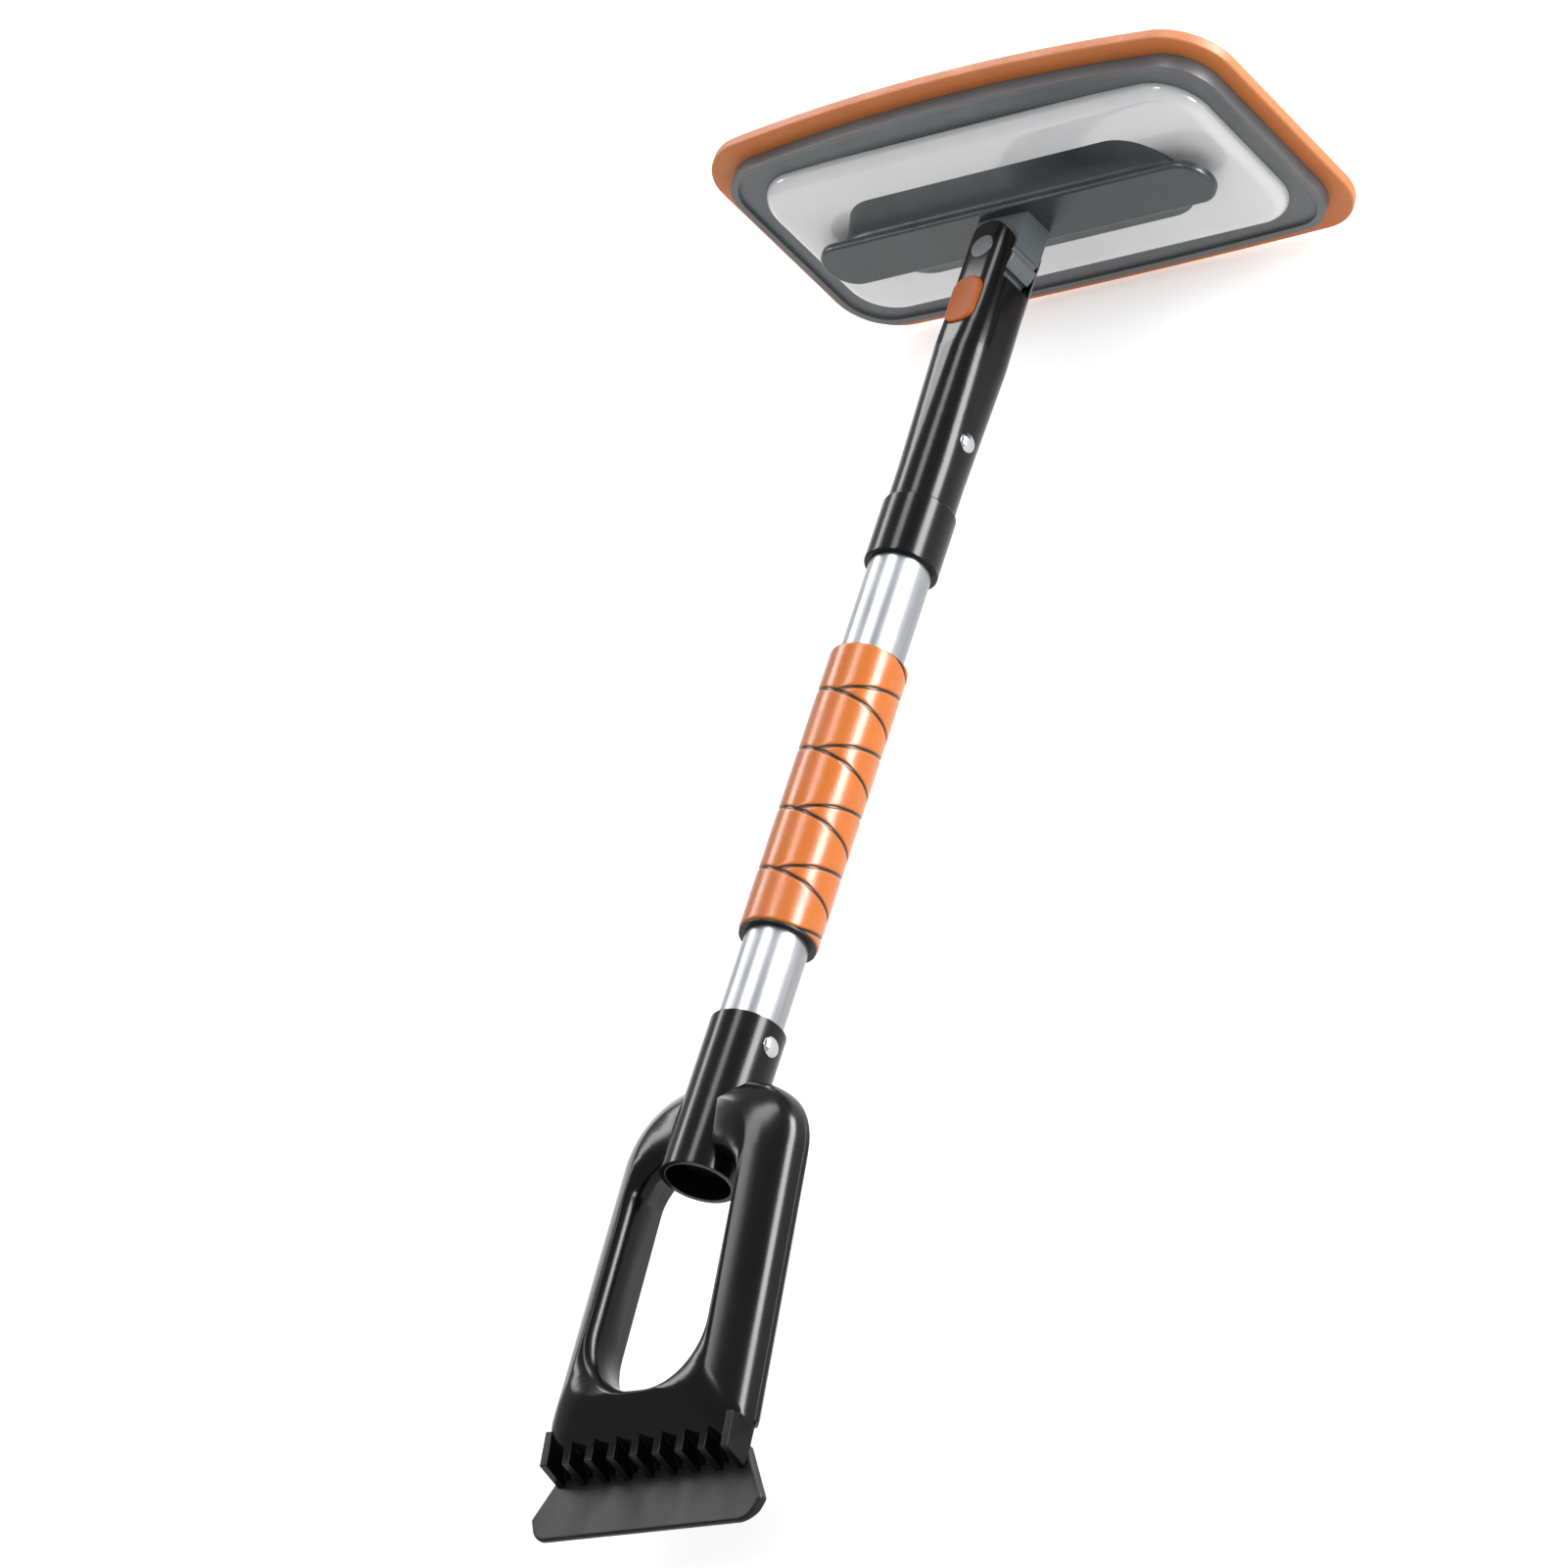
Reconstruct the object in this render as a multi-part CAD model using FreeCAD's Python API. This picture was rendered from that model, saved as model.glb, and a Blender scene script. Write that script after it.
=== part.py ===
"""Snow brush and ice scraper with a tilting foam head and a D-shaped scraper handle.

Millimetres. The origin is the middle of the grip on the pole's axis. +Y runs along the pole
from the scraper to the head, +X along the head's long side, +Z to the side with the lock button.
"""
import FreeCAD, Part
import math
import os

# Pole
TUBE_D = 25.0
TUBE_WALL = 1.2
NECK_D = 21.0
GRIP_LENGTH = 125.0
GRIP_D = 31.0
GRIP_CORE_D = 28.0
CORE_RIM = 1.0
UPPER_BARE = 43.5
LOWER_BARE = 39.5
END_GAP = 3.0
PLUG_LENGTH = 8.0
FIT = 0.05

# Yoke and its collar
COLLAR_LENGTH = 28.0
COLLAR_D = 29.4
COLLAR_EDGE_R = 1.0
YOKE_D = 26.9
YOKE_STRAIGHT = 16.0
PIVOT_FROM_COLLAR = 119.0
WAIST_BELOW_PIVOT = 47.0
WAIST_X, WAIST_Z, WAIST_R = 26.4, 28.4, 11.0
FORK_BELOW_PIVOT = 25.0
FORK_X, FORK_Z, FORK_R = 24.8, 25.4, 8.2
EAR_R = 12.4
NECK_INSERTION = 52.0

# Pivot
PIN_D = 8.0
PIN_CAP_D = 10.4
PIN_CAP_T = 2.2
PIN_CAP_PROUD = 0.3
LUG_T = 14.7
KNUCKLE_R = 12.7
KNUCKLE_GAP = 0.8
WASHER_D = 18.0
WASHER_T = 0.5
WASHER_GAP = 0.05
NOTCH_R = 1.6
NOTCH_STEP = 45.0
NOTCH_COUNT = 5
CAP_FROM_PIVOT = 18.7

# Lock button
BUTTON_X, BUTTON_Y, BUTTON_H = 14.0, 22.0, 7.2
BUTTON_BELOW_PIVOT = 26.4
BUTTON_PROUD = 2.0
BUTTON_TRAVEL = 3.0
BUTTON_GAP = 0.2
BUTTON_CORNER_SHARE = 0.4
BUTTON_EDGE_R = 1.2
PAWL_X, PAWL_Y, PAWL_H = 8.0, 7.0, 8.0
PAWL_CLEAR = 0.5
LOCK_SPRING_D = 6.0
LOCK_WIRE_D = 0.8
LOCK_SPRING_H = 8.0
LOCK_SPRING_TURNS = 6

# Snap buttons of the push-fit joints
SNAP_D = 8.0
SNAP_PROUD = 1.8
SNAP_FLANGE_D = 11.0
SNAP_FLANGE_T = 1.0
HEAD_SNAP_FROM_COLLAR = 30.1
SOCKET_SNAP_INSET = 9.5
SNAP_HOLE_GAP = 0.1
LEAF_T = 0.6
LEAF_W = 7.0
LEAF_LENGTH = 26.0
LEAF_REACH = 0.6

# Head
HEAD_X = 261.4
HEAD_Z = 130.8
HEAD_CROWN = 5.8
HEAD_BEND = 3.9
HEAD_CORNER_R = 24.0
FOAM_T = 5.0
FOAM_RIM = 8.5
PLATE_T = 5.0
PLATE_LIP_W = 2.6
PLATE_LIP_H = 1.4
COVER_X, COVER_Z = 222.0, 87.0
COVER_H = 7.2
COVER_CORNER_R = 20.0
COVER_EDGE_R = 4.5
COVER_WALL = 2.2
COVER_SEAT = 0.9
BASE_H = 6.5
BASE_LEVELS = ((1.0, 78.0, 25.0, 17.0), (0.62, 79.0, 17.5, 15.0), (0.25, 82.0, 13.0, 12.5),
               (0.0, 88.0, 11.2, 11.1))
CAP_X, CAP_Z, CAP_T = 197.0, 24.0, 3.2
CAP_EDGE_R = 1.4
SCREW_D = 3.2
SCREW_HEAD_D = 6.0
SCREW_HEAD_T = 2.2
LUG_SCREW_SPACING = 15.0
LUG_SCREW_LENGTH = 11.0
COVER_SCREW_X, COVER_SCREW_Z = 176.0, 62.0
BOSS_D = 7.0

# Scraper
SOCKET_D = 29.4
SOCKET_LENGTH = 66.0
SOCKET_END_WALL = 1.6
HANDLE_TILT = 6.3
HANDLE_TOP_FROM_SOCKET = 24.5
HANDLE_AXIS_Z = 2.4
HANDLE_LENGTH = 146.0
HANDLE_TOP_X = 80.0
HANDLE_END_X = 97.0
HANDLE_TOP_R = 31.0
HANDLE_END_R = 9.0
TOP_R_LIMIT = 0.9
RISE = 17.0
RISE_INSET = 15.5
RISE_TOP_INSET = 12.0
RISE_END_INSET = 17.5
RISE_LEVELS = ((0.0, 0.0), (0.2, 0.02), (0.38, 0.09), (0.54, 0.22), (0.68, 0.4), (0.8, 0.58),
               (0.9, 0.77), (0.96, 0.9), (1.0, 1.0))
RIM_LEVELS = ((0.5, 0.0), (0.7, 0.4), (0.82, 1.0), (0.91, 1.9), (0.97, 2.8), (1.0, 3.6))
BOSS_SHARE = 0.55
REAR_LEVEL = 0.4
SEAM_Z = -6.0
REAR_T = 5.8
REAR_INSET = 3.0
SHELL_WALL = 2.6
OPENING_FROM_TOP = 34.0
OPENING_LENGTH = 92.0
OPENING_TOP_X = 47.0
OPENING_END_X = 56.0
OPENING_TOP_R = 15.0
OPENING_END_R = 24.0
OPENING_FLARE = 5.0
TOOTH_COUNT = 9
TOOTH_PITCH = 11.1
TOOTH_T = 3.2
TOOTH_REACH = 8.4
TOOTH_FRONT = 4.6
TOOTH_ROOT = 6.0
TOOTH_DEPTH = 11.6
TOOTH_ROOT_RISE = 0.9
WALL_FOOT = 5.5
BLADE_T = 3.5
BLADE_FACE_Z = -8.8
BLADE_REACH = 29.0
BLADE_X = 113.0
BLADE_NECK_X = 88.0
BLADE_TONGUE_X = 62.0
BLADE_TONGUE_LENGTH = 9.5
BLADE_CORNER_R = 8.0
BLADE_EDGE_BEVEL = 1.6
BLADE_EDGE_R = 1.2
BLADE_END_STEP = 4.0
BLADE_SINK = 1.0
HANDLE_SCREW_X = 71.0
HANDLE_SCREW_STATIONS = (52.0, 104.0)
BLADE_SCREW_X = 40.0

# Stations along the pole
GRIP_END = GRIP_LENGTH / 2
COLLAR_Y0 = GRIP_END + UPPER_BARE
COLLAR_Y1 = COLLAR_Y0 + COLLAR_LENGTH
PIVOT_Y = COLLAR_Y1 + PIVOT_FROM_COLLAR
NECK_END_Y = COLLAR_Y1 + NECK_INSERTION
SOCKET_Y1 = -GRIP_END - LOWER_BARE
SOCKET_Y0 = SOCKET_Y1 - SOCKET_LENGTH
TUBE_END_Y = SOCKET_Y0 + PLUG_LENGTH + END_GAP
HEAD_SNAP_Y = COLLAR_Y1 + HEAD_SNAP_FROM_COLLAR
SOCKET_SNAP_Y = SOCKET_Y1 - SOCKET_SNAP_INSET
CAP_Y0 = PIVOT_Y + CAP_FROM_PIVOT
CAP_Y1 = CAP_Y0 + CAP_T
COVER_Y0 = CAP_Y1 + BASE_H
COVER_Y1 = COVER_Y0 + COVER_H
PLATE_Y0 = COVER_Y1 + COVER_SEAT
FOAM_Y0 = PLATE_Y0 + PLATE_T
FOAM_Y1 = FOAM_Y0 + FOAM_T
HANDLE_Y1 = SOCKET_Y1 - HANDLE_TOP_FROM_SOCKET
HANDLE_Y0 = HANDLE_Y1 - HANDLE_LENGTH
SEAM = HANDLE_AXIS_Z + SEAM_Z
FRONT = SEAM + RISE
REAR = SEAM - REAR_T
BLADE_FACE = HANDLE_AXIS_Z + BLADE_FACE_Z
SLOT_HALF = LUG_T / 2 + WASHER_T + 2 * WASHER_GAP
SLOT_FLOOR_Y = PIVOT_Y - KNUCKLE_R - KNUCKLE_GAP
BUTTON_Y0 = PIVOT_Y - BUTTON_BELOW_PIVOT - BUTTON_Y / 2
BUTTON_Z1 = FORK_Z / 2 + BUTTON_PROUD
BUTTON_Z0 = BUTTON_Z1 - BUTTON_H
PAWL_Y1 = PIVOT_Y - KNUCKLE_R - PAWL_CLEAR
TUBE_R = TUBE_D / 2
NECK_R = NECK_D / 2
LOW = -400.0

V = FreeCAD.Vector
X_AXIS, Y_AXIS, Z_AXIS = V(1, 0, 0), V(0, 1, 0), V(0, 0, 1)


def rod_y(radius, start, end, x=0.0, z=0.0):
    """Cylinder along Y between two stations."""
    return Part.makeCylinder(radius, end - start, V(x, start, z), Y_AXIS)


def rod_z(radius, start, end, x=0.0, y=0.0):
    """Cylinder along Z between two heights."""
    return Part.makeCylinder(radius, end - start, V(x, y, start), Z_AXIS)


def rod_x(radius, start, end, y=0.0, z=0.0):
    """Cylinder along X between two places."""
    return Part.makeCylinder(radius, end - start, V(start, y, z), X_AXIS)


def block(x0, x1, y0, y1, z0, z1):
    """Box between two corners."""
    return Part.makeBox(x1 - x0, y1 - y0, z1 - z0, V(x0, y0, z0))


def fused(shapes):
    """One solid from several that overlap or touch."""
    shape = shapes[0]
    for other in shapes[1:]:
        shape = shape.fuse(other)
    return shape.removeSplitter()


def outline(corners, place):
    """Closed wire through (a, b, radius) corners, each rounded; place maps (a, b) to space."""
    count = len(corners)
    arcs = []
    for i, (a, b, radius) in enumerate(corners):
        here = V(a, b, 0)
        before = V(corners[i - 1][0], corners[i - 1][1], 0) - here
        after = V(corners[(i + 1) % count][0], corners[(i + 1) % count][1], 0) - here
        before.normalize()
        after.normalize()
        half = before.getAngle(after) / 2
        cut = radius / math.tan(half)
        middle = (before + after).normalize()
        centre = here + middle * (radius / math.sin(half))
        arcs.append((here + before * cut, centre - middle * radius, here + after * cut))
    edges = []
    for i, (start, middle, end) in enumerate(arcs):
        edges.append(Part.Arc(place(start), place(middle), place(end)).toShape())
        edges.append(Part.LineSegment(place(end), place(arcs[(i + 1) % count][0])).toShape())
    return Part.Wire(edges)


def rectangle(size_a, size_b, radius):
    """Corners of a rounded rectangle about the origin."""
    a, b = size_a / 2, size_b / 2
    return [(-a, -b, radius), (a, -b, radius), (a, b, radius), (-a, b, radius)]


def across(y):
    """Placer for outlines that lie across the pole at station y."""
    return lambda p: V(p.x, y, p.y)


def level(z):
    """Placer for outlines that lie flat at height z."""
    return lambda p: V(p.x, p.y, z)


def loft(wires):
    """Solid with straight sides between outlines."""
    return Part.makeLoft(wires, True, True)


def prism_y(corners, start, end):
    """Straight solid along Y with a rounded outline."""
    return Part.Face(outline(corners, across(start))).extrude(V(0, end - start, 0))


def pole_tube():
    """Aluminium tube with a reduced neck at its upper end and two snap holes."""
    body = rod_y(TUBE_R, TUBE_END_Y, COLLAR_Y1 - END_GAP)
    body = body.fuse(rod_y(NECK_R, COLLAR_Y1 - END_GAP, NECK_END_Y))
    bore = rod_y(TUBE_R - TUBE_WALL, TUBE_END_Y, COLLAR_Y1 - 2 * END_GAP)
    bore = bore.fuse(rod_y(NECK_R - TUBE_WALL, COLLAR_Y1 - 2 * END_GAP, NECK_END_Y))
    body = body.cut(bore)
    for y in (HEAD_SNAP_Y, SOCKET_SNAP_Y):
        body = body.cut(rod_x(SNAP_D / 2 + SNAP_HOLE_GAP, 0, TUBE_D, y))
    return body


def tube_plug():
    """Cap that closes the tube's lower end inside the socket."""
    head = rod_y(TUBE_R, TUBE_END_Y - SOCKET_END_WALL, TUBE_END_Y)
    return head.fuse(rod_y(TUBE_R - TUBE_WALL, TUBE_END_Y, TUBE_END_Y + PLUG_LENGTH))


def grip_core():
    """Rigid sleeve under the grip, with a rim at its lower end."""
    body = rod_y(GRIP_CORE_D / 2, -GRIP_END, GRIP_END)
    body = body.fuse(rod_y(GRIP_D / 2 - CORE_RIM / 2, -GRIP_END - CORE_RIM, -GRIP_END))
    return body.cut(rod_y(TUBE_R, -GRIP_END - CORE_RIM, GRIP_END))


def grip_sleeve():
    """Soft sleeve over the core."""
    return rod_y(GRIP_D / 2, -GRIP_END, GRIP_END).cut(rod_y(GRIP_CORE_D / 2, -GRIP_END, GRIP_END))


def yoke_collar():
    """Collar below the yoke, with an inner lip round the neck."""
    body = rod_y(COLLAR_D / 2, COLLAR_Y0, COLLAR_Y1)
    edges = [e for e in body.Edges if abs(e.BoundBox.YMin - e.BoundBox.YMax) < FIT]
    body = body.makeFillet(COLLAR_EDGE_R, edges)
    body = body.cut(rod_y(TUBE_R, COLLAR_Y0, COLLAR_Y1 - END_GAP))
    return body.cut(rod_y(NECK_R, COLLAR_Y1 - END_GAP, COLLAR_Y1))


def yoke_outside():
    """Outer form: round, swelling to a waist, then a fork with rounded ends."""
    round_end = rectangle(YOKE_D, YOKE_D, YOKE_D / 2 - FIT)
    waist = rectangle(WAIST_X, WAIST_Z, WAIST_R)
    fork = rectangle(FORK_X, FORK_Z, FORK_R)
    stations = ((COLLAR_Y1, round_end), (COLLAR_Y1 + YOKE_STRAIGHT, round_end),
                (PIVOT_Y - WAIST_BELOW_PIVOT, waist), (PIVOT_Y - FORK_BELOW_PIVOT, fork),
                (PIVOT_Y + EAR_R, fork))
    body = loft([outline(corners, across(y)) for y, corners in stations])
    keep = block(-FORK_Z, FORK_Z, COLLAR_Y1, PIVOT_Y, -FORK_Z, FORK_Z)
    return body.common(keep.fuse(rod_z(EAR_R, -FORK_Z, FORK_Z, 0, PIVOT_Y)))


def button_prism(grow, z0, z1):
    """Oblong of the lock button, grown on all sides."""
    corners = rectangle(BUTTON_X + 2 * grow, BUTTON_Y + 2 * grow, BUTTON_X * BUTTON_CORNER_SHARE + grow)
    middle = BUTTON_Y0 + BUTTON_Y / 2
    wire = outline([(a, b + middle, r) for a, b, r in corners], level(z0))
    return Part.Face(wire).extrude(V(0, 0, z1 - z0))


def pawl_block(grow, drop):
    """Space of the lock pawl, grown at its sides and lowered by its travel."""
    return block(-PAWL_X / 2 - grow, PAWL_X / 2 + grow, PAWL_Y1 - PAWL_Y - grow, PAWL_Y1,
                 BUTTON_Z0 - PAWL_H - drop, BUTTON_Z0)


def spring_well():
    """Blind hole that holds the lock spring."""
    return rod_z(LOCK_SPRING_D / 2 + BUTTON_GAP, BUTTON_Z0 - LOCK_SPRING_H, BUTTON_Z0,
                 0, BUTTON_Y0 + LOCK_SPRING_D)


def yoke():
    """Black yoke: socket for the neck, fork for the lug, and wells for the lock."""
    body = yoke_outside()
    body = body.cut(rod_y(NECK_R, COLLAR_Y1, NECK_END_Y))
    body = body.cut(block(-FORK_Z, FORK_Z, SLOT_FLOOR_Y, PIVOT_Y + FORK_Z, -SLOT_HALF, SLOT_HALF))
    body = body.cut(button_prism(BUTTON_GAP, BUTTON_Z0 - BUTTON_TRAVEL - BUTTON_GAP, FORK_Z))
    body = body.cut(pawl_block(BUTTON_GAP, BUTTON_TRAVEL + BUTTON_GAP))
    body = body.cut(pawl_block(BUTTON_GAP, BUTTON_TRAVEL + BUTTON_GAP).translate(V(0, KNUCKLE_GAP, 0)))
    body = body.cut(spring_well())
    body = body.cut(rod_x(SNAP_D / 2 + SNAP_HOLE_GAP, 0, COLLAR_D, HEAD_SNAP_Y))
    body = body.cut(rod_z(PIN_D / 2, -FORK_Z, FORK_Z, 0, PIVOT_Y))
    for side in (-1, 1):
        inner = side * (FORK_Z / 2 + PIN_CAP_PROUD - PIN_CAP_T)
        low, high = sorted((inner, side * FORK_Z))
        body = body.cut(rod_z(PIN_CAP_D / 2, low, high, 0, PIVOT_Y))
    return body


def pivot_pin():
    """Steel pin through both ears and the lug."""
    half = FORK_Z / 2 + PIN_CAP_PROUD - PIN_CAP_T
    return rod_z(PIN_D / 2, -half, half, 0, PIVOT_Y)


def pin_caps():
    """Two caps that cover the pin's ends."""
    inner = FORK_Z / 2 + PIN_CAP_PROUD - PIN_CAP_T
    outer = FORK_Z / 2 + PIN_CAP_PROUD
    return Part.makeCompound([rod_z(PIN_CAP_D / 2, inner, outer, 0, PIVOT_Y),
                              rod_z(PIN_CAP_D / 2, -outer, -inner, 0, PIVOT_Y)])


def friction_washers():
    """Two washers between the lug and the ears."""
    inner = LUG_T / 2 + WASHER_GAP
    rings = []
    for low in (inner, -inner - WASHER_T):
        ring = rod_z(WASHER_D / 2, low, low + WASHER_T, 0, PIVOT_Y)
        rings.append(ring.cut(rod_z(PIN_D / 2, low, low + WASHER_T, 0, PIVOT_Y)))
    return Part.makeCompound(rings)


def lock_button():
    """Release button with rounded top edges."""
    body = button_prism(0, BUTTON_Z0, BUTTON_Z1)
    top = [e for e in body.Edges if e.BoundBox.ZMin > BUTTON_Z1 - FIT]
    return body.makeFillet(BUTTON_EDGE_R, top)


def lock_pawl():
    """Steel pawl under the button."""
    return pawl_block(0, 0)


def helix_spring(wire_d, coil_d, height, turns, base):
    """Round-wire compression spring standing along Z on a base point."""
    mean_r = (coil_d - wire_d) / 2
    pitch = (height - wire_d) / turns
    path = Part.makeHelix(pitch, height - wire_d, mean_r)
    section = Part.Wire(Part.makeCircle(wire_d / 2, V(mean_r, 0, 0), V(0, 1, 0)))
    shape = Part.Wire(path.Edges).makePipeShell([section], True, True)
    return shape.translate(base + V(0, 0, wire_d / 2))


def lock_spring():
    """Spring that lifts the lock button."""
    base = V(0, BUTTON_Y0 + LOCK_SPRING_D, BUTTON_Z0 - LOCK_SPRING_H)
    return helix_spring(LOCK_WIRE_D, LOCK_SPRING_D, LOCK_SPRING_H, LOCK_SPRING_TURNS, base)


def snap_button(y, wall_r, outer_r):
    """Domed button that passes through a tube wall, with an inner flange."""
    inner = wall_r - TUBE_WALL - SNAP_FLANGE_T
    stem = rod_x(SNAP_D / 2, inner, outer_r + SNAP_PROUD, y)
    dome = Part.makeSphere(SNAP_D / 2 + SNAP_PROUD, V(outer_r - SNAP_D / 2, y, 0))
    stem = stem.common(dome.fuse(rod_x(SNAP_D, inner, outer_r, y)))
    flange = rod_x(SNAP_FLANGE_D / 2, inner - SNAP_FLANGE_T, inner, y)
    inside = rod_y(wall_r - TUBE_WALL - FIT, y - SNAP_FLANGE_D, y + SNAP_FLANGE_D)
    return stem.fuse(flange.common(inside)).removeSplitter()


def head_snap_button():
    """Snap button of the joint between yoke and neck."""
    return snap_button(HEAD_SNAP_Y, NECK_R, YOKE_D / 2 + FIT)


def scraper_snap_button():
    """Snap button of the joint between socket and tube."""
    return snap_button(SOCKET_SNAP_Y, TUBE_R, SOCKET_D / 2)


def leaf_spring(y, wall_r):
    """Folded leaf spring that pushes a snap button outwards."""
    front = wall_r - TUBE_WALL - 2 * SNAP_FLANGE_T - FIT
    back = -wall_r * LEAF_REACH
    upper = y + SNAP_FLANGE_D / 2
    lower = upper - LEAF_LENGTH
    profile = [V(front, upper, 0), V(front, y - SNAP_FLANGE_D / 2, 0), V(0, lower, 0),
               V(back, upper, 0), V(back + LEAF_T, upper, 0), V(LEAF_T / 4, lower + 3 * LEAF_T, 0),
               V(front - LEAF_T, y - SNAP_FLANGE_D / 2, 0), V(front - LEAF_T, upper, 0)]
    face = Part.Face(Part.makePolygon(profile + profile[:1]))
    return face.extrude(V(0, 0, LEAF_W)).translate(V(0, 0, -LEAF_W / 2))


def head_snap_spring():
    """Leaf spring inside the tube's neck."""
    return leaf_spring(HEAD_SNAP_Y, NECK_R)


def scraper_snap_spring():
    """Leaf spring inside the tube's lower end."""
    return leaf_spring(SOCKET_SNAP_Y, TUBE_R)


def lug_screw_places():
    """X of the screws between lug and cap."""
    return (-LUG_SCREW_SPACING / 2, LUG_SCREW_SPACING / 2)


def pivot_lug():
    """Grey lug: notched knuckle about the pin and a block up to the head."""
    half_t = LUG_T / 2
    body = rod_z(KNUCKLE_R, -half_t, half_t, 0, PIVOT_Y)
    body = body.fuse(block(-KNUCKLE_R, KNUCKLE_R, PIVOT_Y, CAP_Y0, -half_t, half_t)).removeSplitter()
    body = body.cut(rod_z(PIN_D / 2 + FIT, -half_t, half_t, 0, PIVOT_Y))
    for step in range(NOTCH_COUNT):
        turn = math.radians(-NOTCH_STEP * step)
        body = body.cut(rod_z(NOTCH_R, -half_t, half_t, KNUCKLE_R * math.cos(turn),
                              PIVOT_Y + KNUCKLE_R * math.sin(turn)))
    for x in lug_screw_places():
        body = body.cut(rod_y(SCREW_D / 2, CAP_Y1 - LUG_SCREW_LENGTH, CAP_Y0, x))
    return body


def spine_cap():
    """Long narrow cap of the spine, with rounded ends."""
    corners = rectangle(CAP_X, CAP_Z, CAP_Z / 2 - FIT)
    body = prism_y(corners, CAP_Y0, CAP_Y1)
    face = [e for e in body.Edges if e.BoundBox.YMax < CAP_Y0 + FIT]
    body = body.makeFillet(CAP_EDGE_R, face)
    for x in lug_screw_places():
        body = body.cut(rod_y(SCREW_D / 2, CAP_Y0, CAP_Y1, x))
    return body


def spine_base():
    """Flared base of the spine, on the cover."""
    wires = []
    for share, half_x, half_z, radius in BASE_LEVELS:
        corners = rectangle(2 * half_x, 2 * half_z, radius)
        wires.append(outline(corners, across(CAP_Y1 + share * BASE_H)))
    body = loft(wires)
    for x in lug_screw_places():
        body = body.cut(rod_y(SCREW_HEAD_D / 2 + BUTTON_GAP, CAP_Y1, CAP_Y1 + SCREW_HEAD_T + BUTTON_GAP, x))
    return body


def lug_screws():
    """Two screws that hold the lug to the cap, with their heads inside the base."""
    screws = []
    for x in lug_screw_places():
        shank = rod_y(SCREW_D / 2, CAP_Y1 - LUG_SCREW_LENGTH, CAP_Y1, x)
        screws.append(shank.fuse(rod_y(SCREW_HEAD_D / 2, CAP_Y1, CAP_Y1 + SCREW_HEAD_T, x)))
    return Part.makeCompound(screws)


def cover_screw_places():
    """X and Z of the screws between backing plate and cover."""
    return [(x, z) for x in (-COVER_SCREW_X / 2, COVER_SCREW_X / 2)
            for z in (-COVER_SCREW_Z / 2, COVER_SCREW_Z / 2)]


def cover_plate():
    """Light cover with rounded edges, hollow underneath, with four screw bosses."""
    body = prism_y(rectangle(COVER_X, COVER_Z, COVER_CORNER_R), COVER_Y0, COVER_Y1)
    face = [e for e in body.Edges if e.BoundBox.YMax < COVER_Y0 + FIT]
    body = body.makeFillet(COVER_EDGE_R, face)
    inner = rectangle(COVER_X - 2 * COVER_EDGE_R, COVER_Z - 2 * COVER_EDGE_R, COVER_CORNER_R - COVER_EDGE_R)
    body = body.cut(prism_y(inner, COVER_Y0 + COVER_WALL, COVER_Y1))
    for x, z in cover_screw_places():
        body = body.fuse(rod_y(BOSS_D / 2, COVER_Y0 + COVER_WALL, COVER_Y1, x, z))
        body = body.cut(rod_y(SCREW_D / 2, COVER_Y0 + COVER_WALL, COVER_Y1, x, z))
    return body


def bent_slab(front, thickness, half_length):
    """Sheet bent about Z so that its ends lean towards the pole."""
    radius = (HEAD_X / 2) ** 2 / (2 * HEAD_BEND) - (FOAM_Y1 - front)

    def arc(r):
        drop = r - math.sqrt(r * r - half_length ** 2)
        top = front - (radius - r)
        return V(-half_length, top - drop, -HEAD_Z), V(0, top, -HEAD_Z), V(half_length, top - drop, -HEAD_Z)

    outer, inner = arc(radius), arc(radius - thickness)
    edges = [Part.Arc(*outer).toShape(), Part.LineSegment(outer[2], inner[2]).toShape(),
             Part.Arc(*reversed(inner)).toShape(), Part.LineSegment(inner[0], outer[0]).toShape()]
    return Part.Face(Part.Wire(edges)).extrude(V(0, 0, 2 * HEAD_Z))


def head_prism(inset):
    """Column along Y with the head's crowned outline, its corners rounded, inset on all sides."""
    half_x, half_z = HEAD_X / 2 - inset, HEAD_Z / 2 - inset
    edge_z = half_z - HEAD_CROWN
    height = FOAM_Y1 + FOAM_T - COVER_Y0
    corners = [V(x, COVER_Y0, z) for x, z in
               ((-half_x, -edge_z), (half_x, -edge_z), (half_x, edge_z), (-half_x, edge_z))]
    edges = [Part.Arc(corners[0], V(0, COVER_Y0, -half_z), corners[1]).toShape(),
             Part.LineSegment(corners[1], corners[2]).toShape(),
             Part.Arc(corners[2], V(0, COVER_Y0, half_z), corners[3]).toShape(),
             Part.LineSegment(corners[3], corners[0]).toShape()]
    column = Part.Face(Part.Wire(edges)).extrude(V(0, height, 0))
    upright = [e for e in column.Edges if e.BoundBox.YLength > height / 2]
    return column.makeFillet(HEAD_CORNER_R - inset / 2, upright)


def foam_pad():
    """Foam sheet of the broom."""
    return bent_slab(FOAM_Y1, FOAM_T, HEAD_X / 2 + FOAM_T).common(head_prism(0))


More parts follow.
